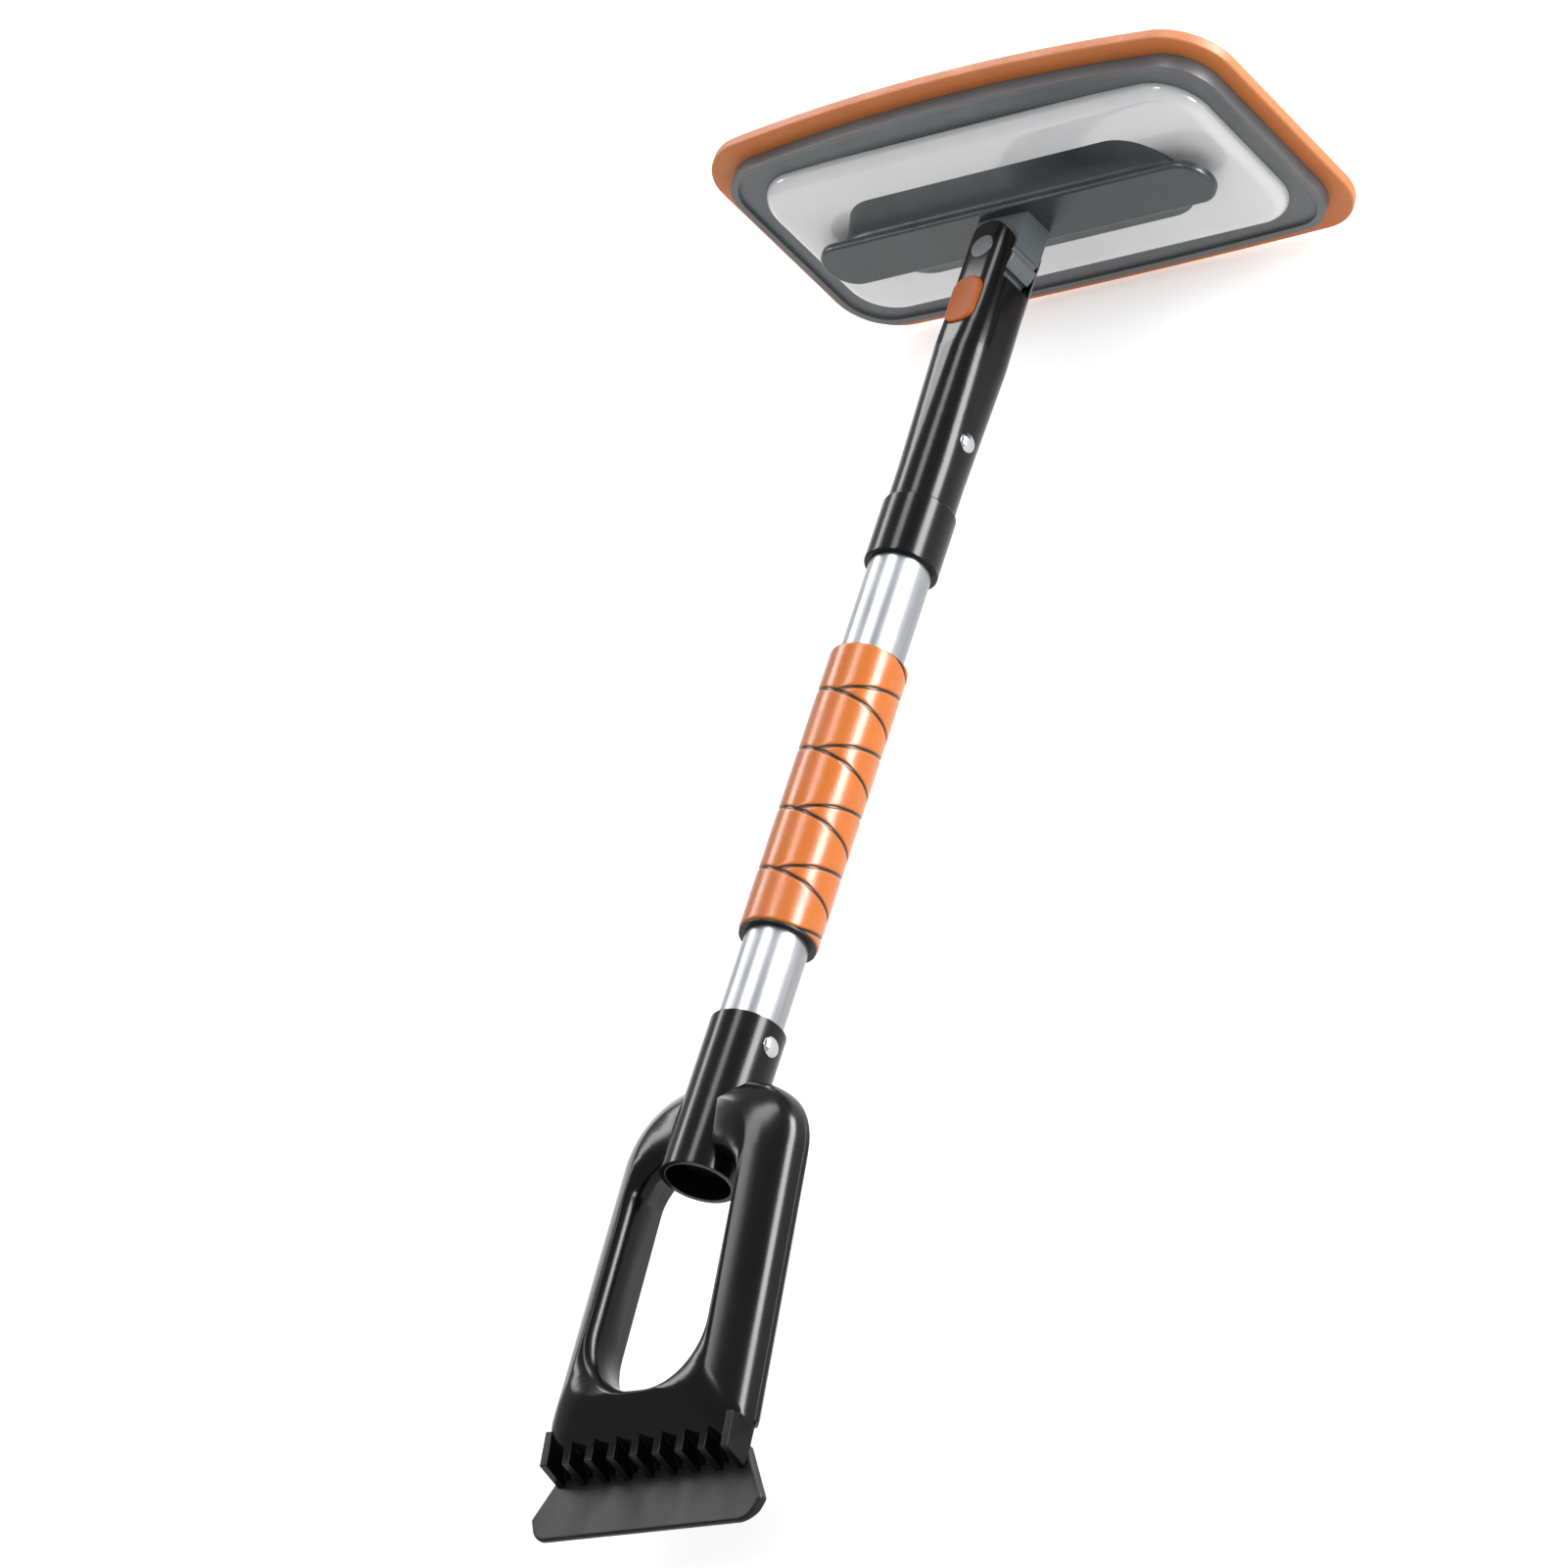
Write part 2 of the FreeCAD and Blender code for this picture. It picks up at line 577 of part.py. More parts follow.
def backing_plate():
    """Stiff plate behind the foam, with a raised lip and a flat seat for the cover."""
    slab = bent_slab(FOAM_Y0, PLATE_T, HEAD_X / 2).common(head_prism(FOAM_RIM))
    lip = bent_slab(PLATE_Y0, PLATE_LIP_H, HEAD_X / 2).common(head_prism(FOAM_RIM))
    lip = lip.cut(head_prism(FOAM_RIM + PLATE_LIP_W))
    seat = prism_y(rectangle(COVER_X, COVER_Z, COVER_CORNER_R), COVER_Y1, PLATE_Y0 + COVER_SEAT)
    body = fused([slab, lip, seat])
    body = body.cut(prism_y(rectangle(COVER_X, COVER_Z, COVER_CORNER_R), COVER_Y0, COVER_Y1))
    for x, z in cover_screw_places():
        body = body.cut(rod_y(SCREW_D / 2, COVER_Y1, FOAM_Y0, x, z))
        body = body.cut(rod_y(SCREW_HEAD_D / 2, screw_head_y(), FOAM_Y1, x, z))
    return body


def screw_head_y():
    """Station of the cover screws' head undersides, below the bent foam."""
    sag = HEAD_BEND * (COVER_SCREW_X / HEAD_X) ** 2
    return FOAM_Y0 - sag - SCREW_HEAD_T - BUTTON_GAP


def cover_screws():
    """Four screws that hold the cover to the backing plate."""
    screws = []
    for x, z in cover_screw_places():
        head_y = screw_head_y()
        shank = rod_y(SCREW_D / 2, COVER_Y0 + COVER_WALL, head_y, x, z)
        screws.append(shank.fuse(rod_y(SCREW_HEAD_D / 2, head_y, head_y + SCREW_HEAD_T, x, z)))
    return Part.makeCompound(screws)


def scraper_socket():
    """Socket over the tube's lower end, open at its lower end."""
    body = rod_y(SOCKET_D / 2, SOCKET_Y0, SOCKET_Y1)
    body = body.cut(rod_y(TUBE_R, TUBE_END_Y, SOCKET_Y1))
    body = body.cut(rod_y(TUBE_R + FIT, SOCKET_Y0, TUBE_END_Y))
    return body.cut(rod_x(SNAP_D / 2 + SNAP_HOLE_GAP, 0, SOCKET_D, SOCKET_SNAP_Y))


def handle_outline(inset_side, inset_top, inset_end, z):
    """Outline of the D-shaped handle at height z, inset at its sides, top and lower end."""
    top_x, end_x = HANDLE_TOP_X / 2 - inset_side, HANDLE_END_X / 2 - inset_side
    top_r = min(HANDLE_TOP_R, top_x * TOP_R_LIMIT)
    corners = [(-end_x, HANDLE_Y0 + inset_end, HANDLE_END_R), (end_x, HANDLE_Y0 + inset_end, HANDLE_END_R),
               (top_x, HANDLE_Y1 - inset_top, top_r), (-top_x, HANDLE_Y1 - inset_top, top_r)]
    return outline(corners, level(z))


def opening_outline(grow, z):
    """Outline of the hand opening at height z, grown on all sides."""
    y1 = HANDLE_Y1 - OPENING_FROM_TOP
    y0 = y1 - OPENING_LENGTH
    corners = [(-OPENING_END_X / 2 - grow, y0 - grow, OPENING_END_R + grow / 2),
               (OPENING_END_X / 2 + grow, y0 - grow, OPENING_END_R + grow / 2),
               (OPENING_TOP_X / 2 + grow, y1 + grow, OPENING_TOP_R + grow / 2),
               (-OPENING_TOP_X / 2 - grow, y1 + grow, OPENING_TOP_R + grow / 2)]
    return outline(corners, level(z))


def hand_opening(grow=0.0):
    """Space of the hand opening, flared towards the back and rolled open at the front."""
    rims = [opening_outline(grow + more, SEAM + RISE * share) for share, more in RIM_LEVELS]
    return loft([opening_outline(OPENING_FLARE + grow, REAR - FIT)] + rims
                + [opening_outline(grow + RIM_LEVELS[-1][1], FRONT + FIT)])


def handle_body(wall):
    """Raised front half of the handle with rounded flanks, made smaller by a wall."""
    return loft([handle_outline(RISE_INSET * inset + wall, RISE_TOP_INSET * inset + wall,
                                RISE_END_INSET * inset + wall, SEAM + (RISE - wall) * share)
                 for share, inset in RISE_LEVELS])


def handle_screw_places():
    """X and Y of the screws that join the handle's two shells."""
    return [(side * HANDLE_SCREW_X / 2, HANDLE_Y1 - station) for side in (-1, 1)
            for station in HANDLE_SCREW_STATIONS]


def blade_screw_places():
    """X and Y of the screws that hold the blade."""
    y = HANDLE_Y0 + BLADE_TONGUE_LENGTH / 2
    return [(x, y) for x in (-BLADE_SCREW_X / 2, BLADE_SCREW_X / 2)]


def side_prism(half, middle, profile):
    """Solid across the handle from a (y, z) profile, centred on x = middle."""
    corners = [V(middle - half, y, z) for y, z in profile]
    return Part.Face(Part.makePolygon(corners + corners[:1])).extrude(V(2 * half, 0, 0))


def tooth(x):
    """One ice-breaking wedge on the sloping lower wall."""
    top = BLADE_FACE + TOOTH_DEPTH
    return side_prism(TOOTH_T / 2, x, [
        (HANDLE_Y0 - TOOTH_REACH, BLADE_FACE), (HANDLE_Y0 - TOOTH_FRONT, top),
        (teeth_back_y(), top + TOOTH_ROOT_RISE), (teeth_back_y(), BLADE_FACE)])


def teeth_back_y():
    """Station just behind the teeth and the wall that carries them."""
    return HANDLE_Y0 + TOOTH_ROOT + SHELL_WALL


def lower_wall():
    """Sloping wall behind the teeth."""
    half = (TOOTH_COUNT - 1) / 2 * TOOTH_PITCH + TOOTH_T / 2
    return side_prism(half, 0, [
        (HANDLE_Y0 - WALL_FOOT, BLADE_FACE),
        (teeth_back_y(), BLADE_FACE + TOOTH_DEPTH + TOOTH_ROOT_RISE), (teeth_back_y(), BLADE_FACE)])


def tilted(shape):
    """Shape turned about the top of the handle so that its lower end drops to the back."""
    shape.rotate(V(0, HANDLE_Y1, HANDLE_AXIS_Z), X_AXIS, HANDLE_TILT)
    return shape


def socket_space():
    """Space of the socket and of what can pass through it."""
    return rod_y(SOCKET_D / 2, SOCKET_Y0, SOCKET_Y1)


def boss(x, y, base, outside):
    """Screw boss from a base height up to the front wall, kept within the handle's outside."""
    return rod_z(BOSS_D / 2, base, FRONT, x, y).common(outside)


def handle_front_shell():
    """Front shell of the handle with screw bosses and teeth."""
    raised = handle_body(0)
    foot = Part.Face(handle_outline(0, 0, 0, BLADE_FACE)).extrude(V(0, 0, SEAM - BLADE_FACE))
    outside = raised.fuse(foot)
    bosses = [boss(x, y, SEAM, outside) for x, y in handle_screw_places()]
    bosses += [boss(x, y, BLADE_FACE, outside) for x, y in blade_screw_places()]
    first = -(TOOTH_COUNT - 1) / 2 * TOOTH_PITCH
    teeth = [tooth(first + i * TOOTH_PITCH) for i in range(TOOTH_COUNT)]
    shell = raised.cut(handle_body(SHELL_WALL).cut(hand_opening(SHELL_WALL)))
    shell = fused([shell, lower_wall()] + bosses + teeth).cut(hand_opening())
    for x, y in handle_screw_places() + blade_screw_places():
        shell = shell.cut(rod_z(SCREW_D / 2, LOW, SEAM + RISE * BOSS_SHARE - SHELL_WALL, x, y))
    return tilted(shell).cut(socket_space())


def handle_rear_shell():
    """Flat rear shell of the handle with a pocket for the blade's tongue."""
    body = loft([handle_outline(0, 0, 0, SEAM),
                 handle_outline(0, 0, 0, SEAM - REAR_T * REAR_LEVEL),
                 handle_outline(REAR_INSET, REAR_INSET, REAR_INSET, REAR)])
    body = body.cut(hand_opening())
    body = body.cut(blade_plate(BLADE_FACE - BLADE_T - FIT, SEAM))
    body = body.cut(block(-HANDLE_END_X, HANDLE_END_X, HANDLE_Y0 - FIT, teeth_back_y(), REAR, SEAM))
    for x, y in handle_screw_places():
        body = body.cut(rod_z(SCREW_D / 2, REAR, SEAM, x, y))
        body = body.cut(rod_z(SCREW_HEAD_D / 2, REAR, REAR + SCREW_HEAD_T, x, y))
    return tilted(body).cut(socket_space())


def blade_outline(z):
    """Outline of the blade: a tongue in the handle, flaring to the scraping edge."""
    tip = HANDLE_Y0 - BLADE_REACH
    neck = HANDLE_Y0 + BLADE_SINK
    wide = tip + BLADE_CORNER_R + BLADE_SINK
    tongue = HANDLE_Y0 + BLADE_TONGUE_LENGTH
    small = BLADE_T / 2
    corners = [(-BLADE_X / 2 + BLADE_END_STEP, tip, BLADE_CORNER_R),
               (BLADE_X / 2 - BLADE_END_STEP, tip, BLADE_CORNER_R),
               (BLADE_X / 2, wide, small), (BLADE_NECK_X / 2, neck, small),
               (BLADE_TONGUE_X / 2, tongue, small), (-BLADE_TONGUE_X / 2, tongue, small),
               (-BLADE_NECK_X / 2, neck, small), (-BLADE_X / 2, wide, small)]
    return outline(corners, level(z))


def blade_plate(low, high):
    """Blade's outline with no holes, between two heights."""
    return Part.Face(blade_outline(low)).extrude(V(0, 0, high - low))


def scraper_blade():
    """Flat blade with a bevelled edge and two screw holes."""
    tip = HANDLE_Y0 - BLADE_REACH
    low = BLADE_FACE - BLADE_T
    body = blade_plate(low, BLADE_FACE)
    face = [e for e in body.Edges if e.BoundBox.ZMin > BLADE_FACE - FIT]
    body = body.makeFillet(BLADE_EDGE_R, face)
    profile = [V(-BLADE_X, tip, low), V(-BLADE_X, tip + 3 * BLADE_EDGE_BEVEL, low),
               V(-BLADE_X, tip, low + BLADE_EDGE_BEVEL), V(-BLADE_X, tip, low)]
    body = body.cut(Part.Face(Part.makePolygon(profile)).extrude(V(2 * BLADE_X, 0, 0)))
    for x, y in blade_screw_places():
        body = body.cut(rod_z(SCREW_D / 2, low, BLADE_FACE, x, y))
        body = body.cut(rod_z(SCREW_HEAD_D / 2, low, low + SCREW_HEAD_T, x, y))
    return tilted(body)


def screws_from_back(places, head_z):
    """Screws driven from the back, heads sunk at head_z."""
    screws = []
    for x, y in places:
        shank = rod_z(SCREW_D / 2, head_z, SEAM + RISE * BOSS_SHARE - SHELL_WALL, x, y)
        screws.append(tilted(shank.fuse(rod_z(SCREW_HEAD_D / 2, head_z, head_z + SCREW_HEAD_T, x, y))))
    return Part.makeCompound(screws)


def handle_screws():
    """Four screws that join the handle's shells."""
    return screws_from_back(handle_screw_places(), REAR)


def blade_screws():
    """Two screws that hold the blade."""
    return screws_from_back(blade_screw_places(), BLADE_FACE - BLADE_T)


NODES = (pole_tube, tube_plug, grip_core, grip_sleeve, yoke_collar, yoke, pivot_pin, pin_caps,
         friction_washers, lock_button, lock_pawl, lock_spring, head_snap_button, head_snap_spring,
         scraper_snap_button, scraper_snap_spring, pivot_lug, spine_cap, spine_base, lug_screws,
         cover_plate, cover_screws, backing_plate, foam_pad, scraper_socket, handle_front_shell,
         handle_rear_shell, scraper_blade, handle_screws, blade_screws)


def main():
    """Write one STEP file per piece."""
    os.makedirs("parts", exist_ok=True)
    for make in NODES:
        shape = make()
        shape.exportStep("parts/" + make.__name__ + ".step")
        box = shape.BoundBox
        print(make.__name__, len(shape.Solids), round(shape.Volume), shape.isValid(),
              [round(v, 1) for v in (box.XMin, box.XMax, box.YMin, box.YMax, box.ZMin, box.ZMax)])


main()
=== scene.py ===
"""Looks of the snow brush with an ice scraper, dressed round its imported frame.

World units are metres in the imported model's own frame. +Y runs up the pole to the head, +X along
the head's long side and +Z to the side with the lock button. Each sub-assembly is a class that
builds its new pieces, dresses its carried-over nodes and says which body they ride.
"""
import logging
import math
from dataclasses import dataclass, field
from enum import Enum
from typing import Optional, Union

import bmesh
import bpy
from mathutils import Matrix, Vector


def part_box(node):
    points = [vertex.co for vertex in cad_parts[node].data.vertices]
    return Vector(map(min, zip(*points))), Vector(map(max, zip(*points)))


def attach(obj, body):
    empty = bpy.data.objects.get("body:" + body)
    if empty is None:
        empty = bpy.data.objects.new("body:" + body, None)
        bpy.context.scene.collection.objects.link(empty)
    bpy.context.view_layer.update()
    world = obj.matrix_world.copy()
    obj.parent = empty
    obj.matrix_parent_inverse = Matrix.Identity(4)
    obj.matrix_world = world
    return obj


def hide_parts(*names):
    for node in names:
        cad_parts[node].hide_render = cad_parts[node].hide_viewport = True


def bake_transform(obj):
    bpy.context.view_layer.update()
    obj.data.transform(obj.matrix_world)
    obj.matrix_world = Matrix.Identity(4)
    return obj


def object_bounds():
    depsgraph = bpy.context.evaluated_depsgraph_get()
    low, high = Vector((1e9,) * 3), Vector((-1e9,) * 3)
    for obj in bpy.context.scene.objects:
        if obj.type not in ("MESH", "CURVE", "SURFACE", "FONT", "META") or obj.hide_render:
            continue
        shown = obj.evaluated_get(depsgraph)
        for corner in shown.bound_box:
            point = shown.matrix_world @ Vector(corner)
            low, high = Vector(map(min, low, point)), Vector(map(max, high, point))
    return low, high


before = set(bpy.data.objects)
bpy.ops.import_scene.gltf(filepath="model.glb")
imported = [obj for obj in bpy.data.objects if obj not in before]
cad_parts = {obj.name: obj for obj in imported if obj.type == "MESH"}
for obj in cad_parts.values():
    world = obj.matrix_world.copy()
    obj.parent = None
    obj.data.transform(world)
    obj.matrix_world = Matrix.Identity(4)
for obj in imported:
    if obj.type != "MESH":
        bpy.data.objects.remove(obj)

LOG = logging.getLogger("snow_brush")
CAD_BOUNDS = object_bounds()
GROOVE_LAYER = "groove"
CUT_TOLERANCE = 1e-7
PLANE_TOLERANCE = 1e-5
Socket = bpy.types.NodeSocket


class Slot(Enum):
    """Material slots of the record."""

    TUBE = "tube_metal"
    BLACK = "black_gloss"
    MATTE = "black_matte"
    GRIP = "grip_orange"
    FOAM = "foam_orange"
    PLATE = "plate_grey"
    COVER = "cover_light"
    SPINE = "spine_grey"
    LUG = "lug_grey"
    BUTTON = "button_orange"
    CHROME = "steel_chrome"
    STEEL = "steel_plain"
    CAP = "cap_grey"


class Body(Enum):
    """Moving bodies of the frame."""

    POLE = "pole"
    HEAD = "head"
    LOCK = "lock"
    HEAD_SNAP = "head_snap"
    SCRAPER_SNAP = "scraper_snap"


def linear_value(value: int) -> float:
    """Scene-linear level of a display level of 0 to 255."""
    share = value / 255
    return share / 12.92 if share <= 0.04045 else ((share + 0.055) / 1.055) ** 2.4


def linear(red: int, green: int, blue: int) -> tuple:
    """Scene-linear colour with alpha from display levels of 0 to 255."""
    return linear_value(red), linear_value(green), linear_value(blue), 1.0


class Tree:
    """Writer for the node tree of one material."""

    EDGE_SAMPLES = 8

    def __init__(self, name: str) -> None:
        """Makes a material with one surface shader.

        Args:
            name: name of the material.
        """
        self.material = bpy.data.materials.new(name)
        self.material.use_nodes = True
        self.tree = self.material.node_tree
        self.tree.nodes.clear()
        output = self.add("ShaderNodeOutputMaterial")
        self.shader = self.add("ShaderNodeBsdfPrincipled")
        self.link(self.shader.outputs["BSDF"], output.inputs["Surface"])
        self.coords = self.add("ShaderNodeTexCoord").outputs["Object"]

    def add(self, kind: str) -> bpy.types.Node:
        """New node of that kind."""
        return self.tree.nodes.new(kind)

    def link(self, source: Socket, target: Socket) -> None:
        """Wire from an output to an input."""
        self.tree.links.new(source, target)

    def noise(self, size: float, detail: float = 3.0, stretch: tuple = (1, 1, 1)) -> Socket:
        """Noise with features of about one size.

        Args:
            size: feature size in metres.
            detail: octaves of finer noise.
            stretch: how many times longer the features are along each axis.

        Returns:
            The noise's factor output.
        """
        mapping = self.add("ShaderNodeMapping")
        mapping.inputs["Scale"].default_value = [1 / value for value in stretch]
        self.link(self.coords, mapping.inputs["Vector"])
        noise = self.add("ShaderNodeTexNoise")
        noise.inputs["Scale"].default_value = 1 / size
        noise.inputs["Detail"].default_value = detail
        self.link(mapping.outputs["Vector"], noise.inputs["Vector"])
        return noise.outputs["Fac"]

    def cells(self, size: float) -> Socket:
        """Distance to the middle of the nearest cell, for closed-cell foam.

        Args:
            size: width of a cell in metres.

        Returns:
            The distance output.
        """
        cells = self.add("ShaderNodeTexVoronoi")
        cells.inputs["Scale"].default_value = 1 / size
        self.link(self.coords, cells.inputs["Vector"])
        return cells.outputs["Distance"]

    def remap(self, source: Socket, low: float, high: float, start: float = 0.3,
              end: float = 0.7) -> Socket:
        """Stretches a value from one range to another and clamps it.

        Args:
            source: value to stretch.
            low: result at start.
            high: result at end.
            start: source value that gives low.
            end: source value that gives high.

        Returns:
            The stretched value.
        """
        node = self.add("ShaderNodeMapRange")
        for name, value in (("From Min", start), ("From Max", end),
                            ("To Min", low), ("To Max", high)):
            node.inputs[name].default_value = value
        self.link(source, node.inputs["Value"])
        return node.outputs["Result"]

    def mix(self, factor: Socket, first: Union[tuple, Socket],
            second: Union[tuple, Socket]) -> Socket:
        """Colour between two colours.

        Args:
            factor: 0 for the first colour, 1 for the second.
            first: colour or colour socket.
            second: colour or colour socket.

        Returns:
            The mixed colour.
        """
        node = self.add("ShaderNodeMix")
        node.data_type = "RGBA"
        self.link(factor, node.inputs["Factor"])
        for value, target in ((first, node.inputs["A"]), (second, node.inputs["B"])):
            sockets = [s for s in node.inputs if s.name == target.name and s.type == "RGBA"]
            if isinstance(value, tuple):
                sockets[0].default_value = value
            else:
                self.link(value, sockets[0])
        return [s for s in node.outputs if s.type == "RGBA"][0]

    def bump(self, source: Socket, height: float, below: Optional[Socket] = None) -> Socket:
        """Surface normal of a relief.

        Args:
            source: height of the relief from 0 to 1.
            height: its depth in metres.
            below: normal that the relief lies on.

        Returns:
            The normal.
        """
        node = self.add("ShaderNodeBump")
        node.inputs["Distance"].default_value = height
        self.link(source, node.inputs["Height"])
        if below is not None:
            self.link(below, node.inputs["Normal"])
        return node.outputs["Normal"]

    def soft_edges(self, radius: float) -> Optional[Socket]:
        """Normal that rounds sharp edges.

        Args:
            radius: radius in metres, 0 to leave the edges alone.

        Returns:
            The normal, or None where the edges are left alone.
        """
        if radius <= 0:
            return None
        node = self.add("ShaderNodeBevel")
        node.samples = self.EDGE_SAMPLES
        node.inputs["Radius"].default_value = radius
        return node.outputs["Normal"]


@dataclass(frozen=True)
class Finish:
    """One surface finish.

    Attributes:
        slot: record slot that the finish belongs to.
        colour: main colour, display values.
        worn_and_groove_shade: second colour of its slow variation, display values.
    """

    slot: Slot
    colour: tuple
    worn_and_groove_shade: tuple

    def material(self) -> bpy.types.Material:
        """Finish's material, made once."""
        known = bpy.data.materials.get("mat_" + self.slot.value)
        return known or self.make()

    def make(self) -> bpy.types.Material:
        """Builds the material; each kind of finish says how."""
        raise NotImplementedError


@dataclass(frozen=True)
class Moulded(Finish):
    """Moulded plastic with fine grain, faint flow shading and softened edges.

    Attributes:
        rough: mean roughness.
        spread: how far scuffs move the roughness either way.
        grain: size of the grain in metres.
        depth: depth of the grain in metres.
        coat: weight of the clear coat.
        coat_rough: roughness of the clear coat.
        edge: radius of the softened edges in metres.
        patch: size of the slow colour patches in metres.
        scuff: size of the scuffs in metres.
        scuff_stretch: how many times longer the scuffs are along each axis.
        specular: specular level.
    """

    rough: float = 0.3
    spread: float = 0.06
    grain: float = 0.0006
    depth: float = 0.000012
    coat: float = 0.0
    coat_rough: float = 0.06
    edge: float = 0.0005
    patch: float = 0.03
    scuff: float = 0.012
    scuff_stretch: tuple = (1, 3, 1)
    specular: float = 0.5

    def make(self) -> bpy.types.Material:
        """Builds the plastic's node tree.

        Returns:
            The material.
        """
        tree = Tree("mat_" + self.slot.value)
        slow = tree.noise(self.patch, 4.0)
        fine = tree.noise(self.grain, 2.0)
        scuff = tree.noise(self.scuff, 2.0, self.scuff_stretch)
        colour = tree.mix(tree.remap(slow, 0.0, 1.0), linear(*self.colour), linear(*self.worn_and_groove_shade))
        tree.link(colour, tree.shader.inputs["Base Color"])
        rough = tree.remap(scuff, self.rough - self.spread, self.rough + self.spread)
        tree.link(rough, tree.shader.inputs["Roughness"])
        tree.shader.inputs["Specular IOR Level"].default_value = self.specular
        tree.shader.inputs["Coat Weight"].default_value = self.coat
        tree.shader.inputs["Coat Roughness"].default_value = self.coat_rough
        normal = tree.bump(fine, self.depth, tree.soft_edges(self.edge))
        tree.link(normal, tree.shader.inputs["Normal"])
        return tree.material


@dataclass(frozen=True)
class Drawn(Finish):
    """Metal with fine lines along one axis.

    Attributes:
        rough: mean roughness.
        spread: how far the roughness varies either way.
        line: width of the lines in metres.
        stretch: how many times longer the lines are along each axis.
        depth: depth of the lines in metres.
        edge: radius of the softened edges in metres.
        cloud: size of the slow roughness patches in metres.
    """

    rough: float = 0.3
    spread: float = 0.08
    line: float = 0.0006
    stretch: tuple = (1, 60, 1)
    depth: float = 0.000006
    edge: float = 0.0003
    cloud: float = 0.02

    def make(self) -> bpy.types.Material:
        """Builds the metal's node tree.

        Returns:
            The material.
        """
        tree = Tree("mat_" + self.slot.value)
        lines = tree.noise(self.line, 3.0, self.stretch)
        slow = tree.noise(self.cloud, 3.0)
        colour = tree.mix(tree.remap(lines, 0.0, 1.0), linear(*self.colour), linear(*self.worn_and_groove_shade))
        tree.link(colour, tree.shader.inputs["Base Color"])
        tree.shader.inputs["Metallic"].default_value = 1.0
        rough = tree.remap(slow, self.rough - self.spread, self.rough + self.spread)
        tree.link(rough, tree.shader.inputs["Roughness"])
        normal = tree.bump(lines, self.depth, tree.soft_edges(self.edge))
        tree.link(normal, tree.shader.inputs["Normal"])
        return tree.material


@dataclass(frozen=True)
class FoamSkin(Finish):
    """Closed-cell foam with pores, with painted shade in its grooves.

    Attributes:
        rough: mean roughness.
        spread: how far the roughness varies either way.
        cell: width of a cell in metres.
        depth: depth of the cells in metres.
        pore_shade: brightness of the pores as a share of the main colour.
        pore_strength: strongest share of that shade.
        patch: size of the slow colour patches in metres.
        groove: colour of the painted shade in the grooves, display values.
        sheen: weight of the soft sheen.
        sheen_rough: roughness of the soft sheen.
        specular: specular level.
    """

    rough: float = 0.6
    spread: float = 0.06
    cell: float = 0.0009
    depth: float = 0.00008
    pore_shade: float = 0.72
    pore_strength: float = 0.16
    patch: float = 0.018
    groove: Optional[tuple] = None
    sheen: float = 0.0
    sheen_rough: float = 0.4
    specular: float = 0.5

    def make(self) -> bpy.types.Material:
        """Builds the foam's node tree.

        Returns:
            The material.
        """
        tree = Tree("mat_" + self.slot.value)
        cells = tree.cells(self.cell)
        slow = tree.noise(self.patch, 4.0)
        colour = tree.mix(tree.remap(slow, 0.0, 1.0), linear(*self.colour), linear(*self.worn_and_groove_shade))
        pores = tree.remap(cells, 0.0, self.pore_strength, 0.35, 0.75)
        shaded = [int(value * self.pore_shade) for value in self.colour]
        colour = tree.mix(pores, colour, linear(*shaded))
        # Painted shade: the pressed grooves are mixed towards a dark colour by their depth share.
        if self.groove is not None:
            worn_and_groove_shade = tree.add("ShaderNodeAttribute")
            worn_and_groove_shade.attribute_name = GROOVE_LAYER
            colour = tree.mix(tree.remap(worn_and_groove_shade.outputs["Fac"], 0.0, 1.0, 0.15, 0.6), colour,
                              linear(*self.groove))
        tree.link(colour, tree.shader.inputs["Base Color"])
        rough = tree.remap(slow, self.rough - self.spread, self.rough + self.spread)
        tree.link(rough, tree.shader.inputs["Roughness"])
        tree.shader.inputs["Specular IOR Level"].default_value = self.specular
        tree.shader.inputs["Sheen Weight"].default_value = self.sheen
        tree.shader.inputs["Sheen Roughness"].default_value = self.sheen_rough
        tree.link(tree.bump(cells, -self.depth), tree.shader.inputs["Normal"])
        return tree.material


FINISHES = {finish.slot: finish for finish in (
    Drawn(Slot.TUBE, (148, 150, 153), (134, 137, 141), rough=0.31, spread=0.03, depth=0.0000008,
          edge=0.0),
    Moulded(Slot.BLACK, (7, 7, 8), (12, 12, 13), rough=0.19, spread=0.02, specular=0.16),
    Moulded(Slot.MATTE, (15, 15, 16), (20, 20, 21), rough=0.42, depth=0.00002, specular=0.2),
    FoamSkin(Slot.GRIP, (188, 101, 29), (182, 95, 26), rough=0.26, depth=0.00002,
             groove=(34, 20, 13), sheen=0.1, specular=0.3),
    FoamSkin(Slot.FOAM, (183, 101, 33), (179, 97, 31), rough=0.55, sheen=0.12),
    Moulded(Slot.PLATE, (84, 87, 89), (78, 81, 83), rough=0.42, depth=0.00003),
    Moulded(Slot.COVER, (202, 203, 204), (197, 198, 200), rough=0.2, spread=0.02, coat=0.4),
    Moulded(Slot.SPINE, (45, 50, 53), (40, 45, 48), rough=0.33, depth=0.00001, edge=0.0),
    Moulded(Slot.LUG, (86, 92, 96), (79, 85, 89), rough=0.3),
    Moulded(Slot.BUTTON, (156, 77, 22), (150, 72, 20), rough=0.4, specular=0.1),
    Drawn(Slot.CHROME, (186, 188, 191), (168, 170, 173), rough=0.07, spread=0.03,
          stretch=(1, 1, 1)),
    Drawn(Slot.STEEL, (178, 180, 184), (160, 162, 166), rough=0.34, stretch=(1, 1, 8)),
    Moulded(Slot.CAP, (70, 74, 77), (63, 67, 70), rough=0.38),
)}


def dress(slots: dict) -> None:
    """Gives carried-over nodes their finishes.

    Args:
        slots: record slot of each node, by node name.
    """
    for name, slot in slots.items():
        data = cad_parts[name].data
        data.materials.clear()
        data.materials.append(FINISHES[slot].material())
        LOG.info("dressed %s as %s", name, slot.value)


